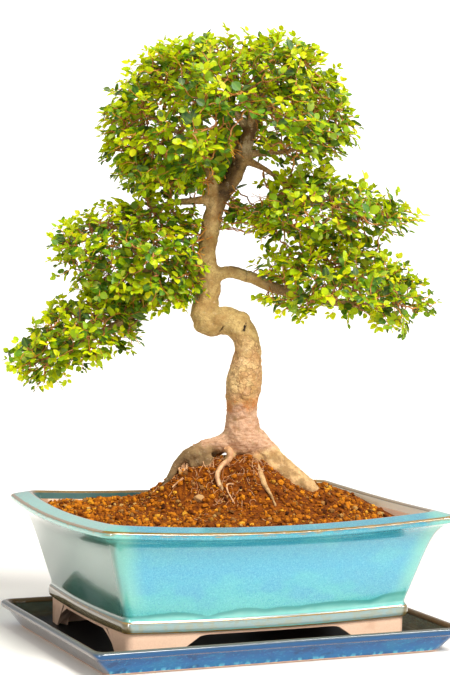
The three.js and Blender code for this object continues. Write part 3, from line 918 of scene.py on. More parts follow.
def joined_copies(
    name: str, shapes: Sequence[Mesh], copies: Sequence[Copy], value_names: Sequence[str]
) -> Mesh:
    """Joins copies of small shapes, made in millimetres, in one mesh in metres.

    Args:
        name: The mesh's name.
        shapes: The shapes. Their own float attributes are kept.
        copies: The copies to place.
        value_names: The names of the numbers that each copy carries.

    Returns:
        The joined mesh.
    """
    places, faces, start = [], [], 0
    numbers: dict[str, list[float]] = {}
    for index, shape in enumerate(shapes):
        points = np.array([v.co for v in shape.vertices])
        corners = [tuple(p.vertices) for p in shape.polygons]
        own = {
            layer.name: [item.value for item in layer.data]
            for layer in shape.attributes if layer.data_type == "FLOAT"
        }
        for copy in (c for c in copies if c.shape == index):
            matrix = np.array(copy.matrix)
            places.append(points @ matrix[:3, :3].T + matrix[:3, 3])
            faces.extend(tuple(start + i for i in corner) for corner in corners)
            start += len(points)
            given = {key: [v] * len(points) for key, v in zip(value_names, copy.values)}
            for key, values in (given | own).items():
                numbers.setdefault(key, []).extend(values)
    mesh = bpy.data.meshes.new(name)
    mesh.from_pydata(np.concatenate(places) * MM, [], faces)
    for key, values in numbers.items():
        layer = mesh.attributes.new(key, "FLOAT", "POINT")
        layer.data.foreach_set("value", values)
    mesh.update()
    return mesh


def tubes(name: str, strands: Iterable[Strand], sides: int, finish: Finish) -> None:
    """Tapering round strands through (place, radius) points, in one mesh.

    Args:
        name: The piece's name.
        strands: The strands, in millimetres.
        sides: How many sides, an even number from 4.
        finish: The finish they are dressed in.
    """
    curve = bpy.data.curves.new(name, "CURVE")
    curve.dimensions = "3D"
    curve.bevel_depth = MM
    curve.bevel_resolution = (sides - 4) // 2
    curve.use_fill_caps = True
    for strand in strands:
        spline = curve.splines.new("POLY")
        spline.points.add(len(strand) - 1)
        for point, (place, radius) in zip(spline.points, strand):
            point.co = (*(place * MM), 1.0)
            point.radius = radius
    draft = in_scene(name, curve)
    graph = bpy.context.evaluated_depsgraph_get()
    mesh = bpy.data.meshes.new_from_object(draft.evaluated_get(graph))
    bpy.data.objects.remove(draft)
    bpy.data.curves.remove(curve)
    make_piece(name, mesh, finish, (), 80)


# Lofted ceramics


@dataclass(frozen=True)
class Station:
    """One ring of a fired wall: how far it stands in, its height, and what the glaze does there."""

    inset: float
    height: float
    ease: float = 0.0
    glaze: float = 1.0
    wear: float = 0.0
    inside: float = 0.0

    def towards(self, other: "Station", distance: float) -> Pair:
        """The point a distance along the way to another station."""
        length = math.hypot(other.inset - self.inset, other.height - self.height)
        share = min(distance / length, 0.45)
        return blend(self.inset, other.inset, share), blend(self.height, other.height, share)

    def values(self) -> dict[str, float]:
        """The numbers that the ring's points carry."""
        return {"glaze": self.glaze, "wear": self.wear, "inside": self.inside}


def eased_profile(stations: Sequence[Station], steps: int = 3) -> list[Station]:
    """Rounds the corners of a profile by their own ease.

    Args:
        stations: The profile's corners.
        steps: How many short stretches a rounded corner has.

    Returns:
        A finer profile.
    """
    result = [stations[0]]
    for before, here, after in zip(stations, stations[1:], stations[2:]):
        if here.ease <= 0:
            result.append(here)
            continue
        start, end = here.towards(before, here.ease), here.towards(after, here.ease)
        for step in range(steps + 1):
            point = bent(start, (here.inset, here.height), end, step / steps)
            result.append(Station(*point, 0, here.glaze, here.wear, here.inside))
    result.append(stations[-1])
    return result


class Loft:
    """A skin over rings of points, made by extruding an edge loop from each ring to the next."""

    def __init__(self, points: Sequence[Vector], values: Mapping[str, float]) -> None:
        """Starts with the first ring.

        Args:
            points: The ring's points.
            values: The numbers that its points carry.
        """
        self.bm = bmesh.new()
        self.order = self.bm.verts.layers.int.new("order")
        self.layers = {name: self.bm.verts.layers.float.new(name) for name in values}
        verts = [self.bm.verts.new(point) for point in points]
        for index, vert in enumerate(verts):
            vert[self.order] = index
        self._note(verts, values)
        pairs = zip(verts, verts[1:] + verts[:1])
        self.edges = [self.bm.edges.new(pair) for pair in pairs]
        self.first_edges = list(self.edges)

    def _note(self, verts: Iterable[BMVert], values: Mapping[str, float]) -> None:
        """Writes the numbers that the points carry."""
        for vert in verts:
            for name, layer in self.layers.items():
                vert[layer] = values[name]

    def add(self, points: Sequence[Vector], values: Mapping[str, float]) -> None:
        """Extrudes to the next ring.

        Args:
            points: The ring's points.
            values: The numbers that its points carry.
        """
        grown = bmesh.ops.extrude_edge_only(self.bm, edges=self.edges)["geom"]
        verts = [g for g in grown if isinstance(g, BMVert)]
        fresh = set(verts)
        self.edges = [
            g for g in grown if isinstance(g, BMEdge) and fresh.issuperset(g.verts)
        ]
        for vert in verts:
            vert.co = points[vert[self.order]]
        self._note(verts, values)

    def cap(self, edges: Sequence[BMEdge], holes: Sequence[Sequence[BMEdge]] = ()) -> None:
        """Fills a flat end, apart from round holes in it."""
        rims = [edge for hole in holes for edge in hole]
        bmesh.ops.triangle_fill(self.bm, use_beauty=True, use_dissolve=False, edges=[*edges, *rims])

    def closed(self) -> BMesh:
        """Fills both flat ends and turns the faces outwards."""
        self.cap(self.first_edges)
        self.cap(self.edges)
        bmesh.ops.recalc_face_normals(self.bm, faces=self.bm.faces)
        return self.bm

    def circle(self, centre: Vector, radius: float, segments: int = 28) -> list[BMEdge]:
        """The edges of a level circle."""
        made = bmesh.ops.create_circle(
            self.bm, segments=segments, radius=radius, matrix=Matrix.Translation(centre)
        )
        return list({edge for vert in made["verts"] for edge in vert.link_edges})


@dataclass
class Outline:
    """A rounded rectangle whose columns of points run up through every ring of a loft."""

    corner_steps: int = 6
    long_shares: Sequence[float] = ()
    short_shares: Sequence[float] = ()

    def points(
        self, half_x: float, half_y: float, corner: float,
        warp: Callable[[float, float], float] | None = None,
    ) -> list[Pair]:
        """Points round the outline, anticlockwise from the middle of the right side's end.

        Args:
            half_x: Half its length.
            half_y: Half its depth.
            corner: The radius of its corners.
            warp: Moves a column along a side, from its share and the side's straight half.

        Returns:
            The points as (x, y).
        """
        place = warp or (lambda share, straight: share * straight)
        straight_x, straight_y = half_x - corner, half_y - corner
        ring = []
        quarters = ((1, 1), (-1, 1), (-1, -1), (1, -1))
        for turn, (sx, sy) in enumerate(quarters):
            for step in range(self.corner_steps + 1):
                angle = (turn + step / self.corner_steps) * math.pi / 2
                x = sx * straight_x + corner * math.cos(angle)
                ring.append((x, sy * straight_y + corner * math.sin(angle)))
            if turn % 2 == 0:
                shares = sorted(self.long_shares, reverse=turn == 0)
                ring.extend((place(s, straight_x), sy * half_y) for s in shares)
            else:
                shares = sorted(self.short_shares, reverse=turn == 1)
                ring.extend((sx * half_x, place(s, straight_y)) for s in shares)
        return ring


def drawn_out(x: float, most: float = 5.5, start: float = 90.0, end: float = 165.0) -> float:
    """The pot's and the tray's right ends stand out a little, as hand-pressed ware does."""
    return x + most * eased_step(x, start, end)


@dataclass(frozen=True)
class Arch:
    """The opening between two feet, by the distance from the middle of its side."""

    foot_end: float
    shoulder: float
    top: float = 24.6
    foot_height: float = 12.0
    shoulder_height: float = 23.4
    level_end: float = 10.0
    level_bend: float = 4.0
    hollow_out: float = 7.0
    hollow_height: float = 18.5
    splay: float = 3.0
    foot_bottom: float = 5.5

    def curve(self, steps: int = 6) -> list[Pair]:
        """The arch's edge, from its level top out to the foot's bottom.

        Args:
            steps: How many points each of its two bends has.

        Returns:
            The points as (distance, height).
        """
        level = (self.shoulder - self.level_end, self.top)
        shoulder = (self.shoulder, self.shoulder_height)
        runs = (
            (level, (self.shoulder - self.level_bend, self.top), shoulder),
            (shoulder, (self.shoulder + self.hollow_out, self.hollow_height),
             (self.foot_end, self.foot_height)),
        )
        points = [bent(*run, step / steps) for run in runs for step in range(steps)]
        last = self.foot_end + (self.foot_height - self.foot_bottom) / self.splay
        middle = (self.foot_end + last) / 2, (self.foot_height + self.foot_bottom) / 2
        return [*points, (self.foot_end, self.foot_height), middle, (last, self.foot_bottom)]

    def height(self, distance: float) -> float:
        """The height of the arch's edge at a distance from the middle."""
        across, up = zip(*self.curve())
        return float(np.interp(distance, across, up))

    def shares(self, straight: float, inner: int = 5, outer: int = 7) -> list[float]:
        """Columns along a side that meet the arch's own points.

        Args:
            straight: Half the side's straight length.
            inner: How many columns stand in half the level top.
            outer: How many steps lead from the foot's bottom to the side's end.

        Returns:
            The columns, as shares of the straight half.
        """
        edge = [distance for distance, _ in self.curve()]
        middle = list(np.linspace(0, edge[0], inner, endpoint=False))
        ends = list(np.linspace(edge[-1], straight, outer + 1))[1:-1]
        half = [distance / straight for distance in (*middle, *edge, *ends)]
        return sorted({*half, *(-share for share in half)})


@dataclass
class Pot:
    """The glazed pot: bowed sides, a dipping rim, a base moulding and four feet."""

    length: float = 300.0
    depth: float = 240.2
    rim_corner: float = 8.5
    base_corner: float = 6.0
    skirt_inset: float = 29.6
    moulding_middle: float = 33.0
    lip_top: float = 112.3
    foot_bottom: float = 5.5
    base_bow: Pair = (5.6, 3.4)
    rim_bow: Pair = (7.8, 5.8)
    base_dip: float = 1.5
    rim_dip: float = 5.1
    short_dip: float = 0.6
    underside: float = 27.0
    floor: float = 36.0
    floor_inset: float = 42.0
    floor_round: float = 1.5
    past_foot: float = 5.0
    underside_inset: float = 40.0
    hole_x: float = 62.0
    hole_radius: float = 11.0
    long_arch: Arch = Arch(78.5, 61)
    short_arch: Arch = Arch(67.5, 50)
    outline: Outline = field(init=False)
    skirt_straight: dict[bool, float] = field(init=False)

    def __post_init__(self) -> None:
        """Lays out the columns, so that some meet the arches' corners."""
        skirt_x = self.length / 2 - self.skirt_inset - self.base_corner
        skirt_y = self.depth / 2 - self.skirt_inset - self.base_corner
        self.outline = Outline(
            long_shares=self.long_arch.shares(skirt_x), short_shares=self.short_arch.shares(skirt_y)
        )
        self.skirt_straight = {True: skirt_x, False: skirt_y}

    def inner_wall(self) -> list[Station]:
        """The bare inner wall, from the rim down to the floor.

        Returns:
            Its stations.
        """
        bare = {"glaze": 0.0, "ease": 6.0}
        return [
            Station(14.9, 115.2, 0.8, 1.0, 0.8, 0.6), Station(15.7, 112.8, 1.0, inside=1.0),
            Station(16.7, 109.8, 0.5, 0.8, inside=1.0), Station(17.2, 108.6, 0.5, 0.0),
            Station(22.5, 94, **bare), Station(26.5, 79, **bare),
            Station(32, 57, **bare), Station(35.5, 43, **bare),
        ]

    def profile(self) -> list[Station]:
        """The outer wall from the feet up, over the rim and down the inner wall.

        Returns:
            Its stations.
        """
        clay = {"glaze": 0.0}
        wall = {"ease": 9.0}
        return [
            Station(39.3, 25.6, 0.7, **clay), Station(38.5, 0, 0.9, **clay),
            Station(self.skirt_inset + 0.1, 0, 0.9, **clay), Station(29.5, 26.6, **clay),
            Station(29.4, 27.4, 0.3, 0.35), Station(28.8, 28.1, 0.3, 0.75),
            Station(27.5, 28.4, 0.5, 1.0, 0.95), Station(26.6, 31.0, 1.0, 1.0, 0.25),
            Station(26.5, 34.6, 1.2), Station(27.1, 37.0, 0.7, 1.0, 0.75),
            Station(28.0, 37.9, 0.5, 1.0, 0.15), Station(28.5, 40.2, 1.2),
            Station(27.6, 44, 1.5), Station(25.6, 51, **wall), Station(22, 64, **wall),
            Station(18, 78.6, **wall), Station(13.6, 92.9, **wall), Station(9.5, 100.7, **wall),
            Station(4.2, 106.0, 1.8), Station(1.2, 107.6, 0.8, 1.0, 0.2),
            Station(0.1, 108.6, 0.7, 1.0, 0.35), Station(0, 111.0, 0.7, 1.0, 0.55),
            Station(0.5, 112.4, 0.4, 1.0, 0.95), Station(1.8, 113.1, 0.4, 1.0, 0.8),
            Station(2.8, 113.5, 0.4, 1.0, 0.5), Station(11.4, 116.0, 1.0, 1.0, 0.2),
            Station(13.0, 116.2, 0.9, 1.0, 0.85),
            *self.inner_wall(),
        ]

    def wall_inset(self, height: float) -> float:
        """How far the inner wall stands in at a height."""
        wall = sorted((station.height, station.inset) for station in self.inner_wall())
        heights, insets = zip(*wall)
        return float(np.interp(height, heights, insets))

    def ring(self, inset: float, height: float, level: bool = False) -> list[Vector]:
        """One ring of the pot.

        Args:
            inset: How far it stands in from the rim's corners.
            height: Its height at the corners, or 0 for the foot's edge, which follows the arches.
            level: True where it doesn't dip.

        Returns:
            The ring's points.
        """
        at_foot = height < self.foot_bottom
        shown = self.foot_bottom if at_foot else height
        rise = eased_step(shown, self.moulding_middle, self.lip_top)
        corner = blend(self.base_corner, self.rim_corner, rise)
        bow_long, bow_short = (blend(a, b, rise) for a, b in zip(self.base_bow, self.rim_bow))
        dip = eased_step(shown, self.foot_bottom, self.moulding_middle)
        dip *= 0 if level else blend(self.base_dip, self.rim_dip, rise)
        half_x, half_y = self.length / 2 - inset, self.depth / 2 - inset
        under = inset > self.skirt_inset and shown < self.moulding_middle
        flat = self.outline.points(half_x, half_y, corner, self._keep_columns if under else None)
        ring = []
        for x, y in flat:
            along, deep = x / half_x, y / half_y
            sag = (1 - along**2) * deep**2 + self.short_dip * (1 - deep**2) * along**2
            up = self._foot_edge(x, y, half_x, half_y) if at_foot else shown - dip * sag
            bowed = x + along * bow_short * (1 - deep**2)
            ring.append(Vector((drawn_out(bowed), y + deep * bow_long * (1 - along**2), up)))
        return ring

    def floor_ring(self, height: float) -> list[Vector]:
        """A level ring at the edge of the floor."""
        return self.ring(self.floor_inset + self.floor_round, height, level=True)

    def _keep_columns(self, share: float, straight: float) -> float:
        """Keeps the columns at an arch in line through the foot wall's thickness.

        Args:
            share: The column's share of the straight half.
            straight: That half's length.

        Returns:
            Where the column stands along the side.
        """
        is_long = straight > self.depth / 2 - self.floor_inset
        reference = self.skirt_straight[is_long]
        keep = (self.long_arch if is_long else self.short_arch).foot_end + self.past_foot
        place = abs(share) * reference
        if place > keep:
            place = blend(keep, straight, (place - keep) / (reference - keep))
        return math.copysign(place, share)

    def _foot_edge(self, x: float, y: float, half_x: float, half_y: float) -> float:
        """The height of the foot wall's lower edge."""
        on_long_side = half_y - abs(y) < half_x - abs(x)
        return self.long_arch.height(abs(x)) if on_long_side else self.short_arch.height(abs(y))

    def build(self) -> None:
        """Lofts the pot as one closed wall, with its two drain holes."""
        bare = Station(0, 0, glaze=0.0).values()
        loft = Loft(self.ring(self.underside_inset, self.underside, level=True), bare)
        for station in eased_profile(self.profile()):
            at_foot = station.height < self.foot_bottom
            if at_foot or station.height > self.long_arch.top:
                loft.add(self.ring(station.inset, station.height), station.values())
        loft.add(self.ring(self.floor_inset, self.floor + 0.5, level=True), bare)
        loft.add(self.floor_ring(self.floor), bare)
        holes = {
            height: [loft.circle(Vector((x, 0, height)), self.hole_radius)
                     for x in (-self.hole_x, self.hole_x)]
            for height in (self.underside, self.floor)
        }
        loft.cap(loft.first_edges, holes[self.underside])
        loft.cap(loft.edges, holes[self.floor])
        for low, high in zip(*holes.values()):
            bmesh.ops.bridge_loops(loft.bm, edges=low + high)
        bmesh.ops.recalc_face_normals(loft.bm, faces=loft.bm.faces)
        make_piece("glazed_pot", loft.bm, PotGlaze(), ["pot"], 50)


@dataclass
class Tray:
    """The shallow glazed tray that the pot's feet stand in."""

    length: float = 315.8
    depth: float = 242.6
    corner: float = 8.0
    columns: int = 15

    def profile(self) -> list[Station]:
        """The wall from its underside, over the bead and down to the floor.

        Returns:
            Its stations.
        """
        inner = {"inside": 1.0}
        return [
            Station(17.5, 0, 0.4, 0.0), Station(14.9, 0.5, 0.6, 0.1), Station(13.2, 2.4, 0.5, 0.7),
            Station(9.0, 8.4, 3.0), Station(4.7, 14.4, 0.5, 1.0, 0.35),
            Station(3.4, 15.0, 0.4, 1.0, 1.0), Station(1.4, 15.5, 0.8, 1.0, 0.5),
            Station(0, 17.4, 1.2), Station(0.2, 19.8, 1.2), Station(1.8, 21.3, 0.9),
            Station(4.4, 21.4, 0.9, 1.0, 0.7), Station(6.2, 19.4, 0.9, 1.0, 0.9, **inner),
            Station(6.7, 17.4, 0.5, 1.0, 0.2, **inner), Station(16.6, 6.8, 1.6, **inner),
        ]

    def _ring(self, outline: Outline, station: Station) -> list[Vector]:
        """The ring of the tray at a station."""
        halves = self.length / 2 - station.inset, self.depth / 2 - station.inset
        flat = outline.points(*halves, self.corner)
        return [Vector((drawn_out(x), y, station.height)) for x, y in flat]

    def build(self) -> None:
        """Lofts the tray as one closed wall."""
        shares = [-1 + 2 * i / (self.columns + 1) for i in range(1, self.columns + 1)]
        outline = Outline(long_shares=shares, short_shares=shares)
        stations = eased_profile([*self.profile(), Station(21.5, 5.2, inside=1.0)])
        first = Station(21, 0, glaze=0.0)
        loft = Loft(self._ring(outline, first), first.values())
        for station in stations:
            loft.add(self._ring(outline, station), station.values())
        make_piece("glazed_drip_tray", loft.closed(), TrayGlaze(), ["drip_tray"], 50)


# What the photograph shows from its own point of view


@dataclass
class Viewpoint:
    """The photograph's camera, and the rays through its pixels."""

    place: Vector = field(default_factory=lambda: Vector((-700.67, -1602.01, 351.34)))
    yaw: float = -23.541
    pitch: float = -3.263
    roll: float = 0.969
    lens: float = 112.7
    sensor: float = 36.0
    width: int = 450
    height: int = 675

    def axes(self) -> tuple[Vector, Vector, Vector]:
        """The camera's own directions.

        Returns:
            Right, up and forward.
        """
        yaw, pitch, roll = (math.radians(a) for a in (self.yaw, self.pitch, self.roll))
        forward = Vector((
            -math.sin(yaw) * math.cos(pitch), math.cos(yaw) * math.cos(pitch), math.sin(pitch)
        ))
        level = Vector((math.cos(yaw), math.sin(yaw), 0))
        turn = Matrix.Rotation(-roll, 3, forward)
        return turn @ level, turn @ level.cross(forward), forward

    def ray(self, x: float, y: float) -> Vector:
        """The direction through a pixel."""
        right, up, forward = self.axes()
        focal = self.lens / self.sensor * self.height
        offset = right * (x - self.width / 2) / focal - up * (y - self.height / 2) / focal
        return (forward + offset).normalized()

    def hit(self, surface: BVHTree, x: float, y: float) -> tuple[Vector, Vector]:
        """The place and normal where a pixel's ray meets a surface."""
        place, normal, _, _ = surface.ray_cast(self.place, self.ray(x, y))
        return place, normal

    def shoot(self) -> None:
        """Makes the camera."""
        right, up, forward = self.axes()
        lens = bpy.data.cameras.new("camera")
        lens.lens = self.lens
        lens.sensor_width = self.sensor
        camera = in_scene("camera", lens)
        turn = Matrix((right, up, -forward)).transposed().to_4x4()
        camera.matrix_world = Matrix.Translation(self.place * MM) @ turn
        bpy.context.scene.camera = camera


# Wood


@dataclass(frozen=True)
class Gash:
    """A cut or crease in the bark, from one place to another, as (across, up) from the front."""

    start: Pair
    end: Pair
    width: float
    depth: float
    unevenness: float = 0.9
    taper: float = 0.6

    def press(self, across: float, up: float) -> float:
        """How deep the bark is pressed in at a place.

        Args:
            across: Where the place is from the front.
            up: Its height.

        Returns:
            The depth, in millimetres.
        """
        share, away = off_line(Vector((across, up)), Vector(self.start), Vector(self.end))
        away *= 1 + self.unevenness * noise.noise(Vector((across, 0, up)) * 0.9)
        width = self.width * (1 - self.taper * abs(2 * share - 1))
        return self.depth * max(0.0, 1 - (away / width) ** 2)


@dataclass
class Tree:
    """The trunk, roots and limbs: one grown piece, carved over the CAD solid."""

    voxel: float = 1.0
    gashes: tuple[Gash, ...] = (
        Gash((14.6, 265.0), (12.8, 257.8), 1.0, 2.8),
        Gash((13.4, 261.0), (10.6, 256.9), 0.6, 1.3),
        Gash((-3.9, 261.6), (-7.1, 256.4), 0.6, 1.8),
        Gash((14.2, 297.5), (15.4, 311.0), 0.7, 0.8),
        Gash((16.5, 246.0), (26.5, 241.0), 0.9, 0.5),
        Gash((10.5, 203.5), (16.5, 200.5), 1.0, 0.6),
    )
    swellings: tuple[Quad, ...] = (
        (38.2, -3.0, 144.5, 7.0), (46.8, -2.0, 138.0, 7.5), (56.5, -0.5, 132.5, 7.5),
        (65.0, 1.5, 128.8, 7.0), (71.0, 4.0, 125.5, 6.0), (-18.0, -6.0, 157.0, 5.0),
        (-25.0, -6.0, 155.0, 5.2), (-31.0, -5.5, 151.5, 4.6), (-15.0, -8.0, 150.5, 4.8),
        (-21.0, -8.0, 148.0, 4.8), (-27.0, -7.0, 146.0, 4.2), (4.5, -9.0, 155.0, 4.2),
        (1.5, -11.5, 152.0, 3.2), (-20.2, 0.0, 262.3, 8.6), (-23.7, 0.0, 270.4, 7.0),
        (-14.7, 0.0, 260.2, 8.0),
    )
    fork: tuple[Quad, ...] = (
        (-12.5, -1.0, 350.0, 5.4), (-16.6, -1.0, 370.0, 4.6), (-16.0, -1.0, 402.0, 3.2),
    )
    smoothing: tuple[tuple[float, int], ...] = ((2.0, 3), (7.0, 5), (12.0, 10))
    skin: float = 0.3
    thickest: float = 30.0
    front_limit: float = 0.3

    def _fork_swellings(self, count: int = 9) -> list[tuple[float, ...]]:
        """Balls close together along the thin fork of the upper trunk.

        Args:
            count: How many there are from one of its points to the next.

        Returns:
            Their centres and radii, as rows of numbers.
        """
        return [
            tuple(blend(a, b, step / count) for a, b in zip(start, end))
            for start, end in zip(self.fork, self.fork[1:])
            for step in range(count)
        ]

    def build(self) -> BVHTree:
        """Remeshes, smooths and carves the tree.

        Returns:
            Its surface, in millimetres.
        """
        bm = merged_copy("tree")
        for *place, radius in (*self.swellings, *self._fork_swellings()):
            centre = Matrix.Translation(in_pot_frame(*place))
            bmesh.ops.create_icosphere(bm, subdivisions=3, radius=radius, matrix=centre)
        bm = with_modifier(bm, "REMESH", mode="VOXEL", voxel_size=self.voxel)
        thickness = self._thickness(bm)
        for limit, rounds in self.smoothing:
            chosen = [v for v, t in zip(bm.verts, thickness) if t > limit]
            for _ in range(rounds):
                bmesh.ops.smooth_vert(
                    bm, verts=chosen, factor=0.5, use_axis_x=True, use_axis_y=True, use_axis_z=True
                )
        bm.normal_update()
        thick_layer = bm.verts.layers.float.new("thick")
        crack_shade_layer = bm.verts.layers.float.new("crack")
        moves = []
        for vert, thick in zip(bm.verts, thickness):
            vert[thick_layer] = thick
            relief, crack = self._relief(vert, thick)
            vert[crack_shade_layer] = crack
            moves.append(vert.normal * relief)
        for vert, move in zip(bm.verts, moves):
            vert.co += move
        surface = BVHTree.FromBMesh(bm)
        make_piece("elm_trunk_and_limbs", bm, Bark(), ["tree"], 180)
        return surface

    def _thickness(self, bm: BMesh) -> list[float]:
        """The wood's thickness under each point, up to that of the trunk.

        Args:
            bm: The wood's mesh.

        Returns:
            The thicknesses, in the points' order.
        """
        surface = BVHTree.FromBMesh(bm)
        result = []
        for vert in bm.verts:
            inward = -vert.normal
            start = vert.co + inward * self.skin
            _, _, _, distance = surface.ray_cast(start, inward, self.thickest)
            result.append(self.thickest if distance is None else distance + self.skin)
        return result

    def _relief(self, vert: BMVert, thick: float) -> Pair:
        """The bark's relief at a point: lumps, knots, plates with seams, wrinkles and gashes.

        Args:
            vert: The point.
            thick: The wood's thickness there.

        Returns:
            How far the bark stands out, and how deep the crack there is, 0 to 1, which sets the
            painted shade in it.
        """
        place = vert.co
        heft = eased_step(thick, 3.0, 14.0)
        lumps = noise.fractal(place * 0.11, 0.9, 2.0, 3) * 0.9 * heft
        knots = noise.noise(place * 0.28) * 0.42 * heft + noise.noise(place * 0.62) * 0.16
        distances, centres = noise.voronoi(place * 0.2 + Vector((0, 0, 3)))
        step = noise.noise(centres[0] * 5.3) * 0.35 * heft
        seam = clamped(1 - (distances[1] - distances[0]) / 0.12)
        patchy = eased_step(noise.noise(place * 0.05 + Vector((7, 1, 2))), -0.1, 0.25)
        groove = seam * patchy * heft * 0.45
        tree_place = in_tree_frame(place)
        front = in_tree_frame(vert.normal).y < self.front_limit
        press = max(g.press(tree_place.x, tree_place.z) for g in self.gashes) if front else 0.0
        wrinkle = math.sin(place.z * 2.1 + noise.noise(place * 0.2) * 5) * 0.12
        wrinkle *= heft * eased_step(place.z, 150, 165) * eased_step(place.z, 205, 190)
        # How deep the crack is, for the painted shade that the bark puts in it.
        crack = clamped(press / 1.4 + groove * 0.9)
        return lumps + knots + step + wrinkle - groove - press, crack


@dataclass
class Branching:
    """Twigs that grow from the limbs towards the places where the leaves want light."""

    step: float = 3.6
    reach: float = 4.4
    wander: float = 0.32
    rounds: int = 46
    lift: float = 0.05
    places: list[Vector] = field(default_factory=list)
    parents: list[int] = field(default_factory=list)
    children: list[list[int]] = field(default_factory=list)

    def grow(self, starts: Sequence[Vector], goals: Sequence[Vector], rng: random.Random) -> None:
        """Grows until the goals are reached.

        Args:
            starts: Places on the limbs.
            goals: Where the shoots should end.
            rng: The source of chance.
        """
        self.places = list(starts)
        self.parents = [-1] * len(starts)
        open_goals = list(goals)
        for _ in range(self.rounds):
            finder = KDTree(len(self.places))
            for index, place in enumerate(self.places):
                finder.insert(place, index)
            finder.balance()
            pulls: dict[int, Vector] = {}
            still_open = []
            for goal in open_goals:
                place, index, distance = finder.find(goal)
                if distance < self.reach:
                    continue
                still_open.append(goal)
                pulls[index] = pulls.get(index, Vector()) + (goal - place).normalized()
            open_goals = still_open
            if not pulls:
                break
            for index, pull in pulls.items():
                chance = jitter(rng, self.wander)
                heading = (pull.normalized() + chance + UP * self.lift).normalized()
                self.places.append(self.places[index] + heading * self.step)
                self.parents.append(index)
        self.children = [[] for _ in self.places]
        for index, parent in enumerate(self.parents):
            if parent >= 0:
                self.children[parent].append(index)

    def loads(self) -> list[int]:
        """How many shoots each place carries.

        Returns:
            The numbers, in the places' order.
        """
        loads = [0] * len(self.places)
        for index in range(len(self.places) - 1, -1, -1):
            loads[index] = max(loads[index], 1)
            if self.parents[index] >= 0:
                loads[self.parents[index]] += loads[index]
        return loads

    def strands(self, thickness: Callable[[int], float]) -> list[Strand]:
        """The twigs as strands, each as long as it stays the main one.

        Args:
            thickness: Gives a twig's radius from how many shoots it carries.

        Returns:
            Strands of (place, radius) points.
        """
        loads = self.loads()
        result = []
        starts = [
            (index, child)
            for index, children in enumerate(self.children)
            for child in children
            if self.parents[index] < 0 or child != max(children, key=lambda c: loads[c])
        ]
        for base, first in starts:
            radius = thickness(loads[first])
            strand = [(self.places[base], radius)]
            here = first
            while True:
                strand.append((self.places[here], thickness(loads[here])))
                if not self.children[here]:
                    break
                here = max(self.children[here], key=lambda c: loads[c])
            result.append(strand)
        return result


# Leaves


@dataclass(frozen=True)
class LeafShape:
    """One shape of leaf, a unit long, as half widths and droops along it."""

    widths: Triple
    droop: float
    fold: float
    thickness: float = 0.035
    rows: tuple[float, ...] = (0.0, 0.24, 0.52, 0.8, 1.0)
    sweep: float = 0.03

    def mesh(self) -> Mesh:
        """A closed blade: a small grid with its ends drawn together, doubled at the midrib.

        Returns:
            The blade's mesh, from its base at the origin along +Y.
        """
        bm = bmesh.new()
        bmesh.ops.create_grid(bm, x_segments=2, y_segments=4, size=1)
        halves = (0.0, *self.widths, 0.0)
        vein = bm.verts.layers.float.new("vein")
        under = bm.verts.layers.float.new("under")
        for vert in bm.verts:
            row, side = round((vert.co.y + 1) * 2), round(vert.co.x)
            along, half = self.rows[row], halves[row]
            lift = abs(side) * half * self.fold - self.droop * along**2
            vert.co = Vector((side * half, along - abs(side) * self.sweep, lift))
            vert[vein] = 1.0 if side == 0 else 0.0
        bmesh.ops.remove_doubles(bm, verts=bm.verts, dist=self.thickness)
        top = list(bm.faces)
        below = bmesh.ops.duplicate(bm, geom=[*bm.verts, *bm.edges, *bm.faces])["geom"]
        under_faces = [g for g in below if isinstance(g, BMFace)]
        bmesh.ops.reverse_faces(bm, faces=under_faces)
        for vert in (g for g in below if isinstance(g, BMVert)):
            vert[under] = 1.0
            if not vert.is_boundary:
                vert.co.z -= self.thickness
        for vert in {v for face in top for v in face.verts if not v.is_boundary}:
            vert.co.z += self.thickness
        bmesh.ops.remove_doubles(bm, verts=bm.verts, dist=0.001)
        bmesh.ops.triangulate(bm, faces=bm.faces)
        return ended(bm, "leaf_shape")


LEAF_SHAPES = (
    LeafShape((0.28, 0.34, 0.22), 0.10, 0.28),
    LeafShape((0.32, 0.39, 0.28), 0.04, 0.16),
    LeafShape((0.23, 0.30, 0.20), 0.20, 0.42),
    LeafShape((0.30, 0.36, 0.23), -0.06, 0.34),
)


@dataclass(frozen=True)
class Window:
    """A place that leaves keep clear of, where a stretch of trunk or limb shows from the front."""

    path: tuple[Pair, ...]
    room: float
    deepest: float = 99.0

    def holds(self, place: Vector) -> bool:
        """Tells what lies near the stretch's path, and in front of what is behind it.

        Args:
            place: A place in the tree's frame.

        Returns:
            True where leaves keep clear.
        """
        point = Vector((place.x, place.z))
        ends = zip(map(Vector, self.path), map(Vector, self.path[1:]))
        return place.y <= self.deepest and any(
            off_line(point, start, end)[1] < self.room for start, end in ends
        )


WINDOWS = (
    Window(((-19, 322), (-15, 341), (-11, 365), (1.5, 381), (9.4, 405), (14, 417)), 8.5, 6.0),
    Window(((-7, 306), (16, 302), (31, 295), (42, 292)), 6.0, 4.0),
    Window(((12, 367), (25, 370)), 6.5),
    Window(((-15, 356), (-17, 386)), 5.0, 4.0),
    Window(((-38, 366), (-23, 365)), 4.5),
)


def in_window(place: Vector) -> bool:
    """True in any of the places that leaves keep clear of."""
    return any(window.holds(place) for window in WINDOWS)


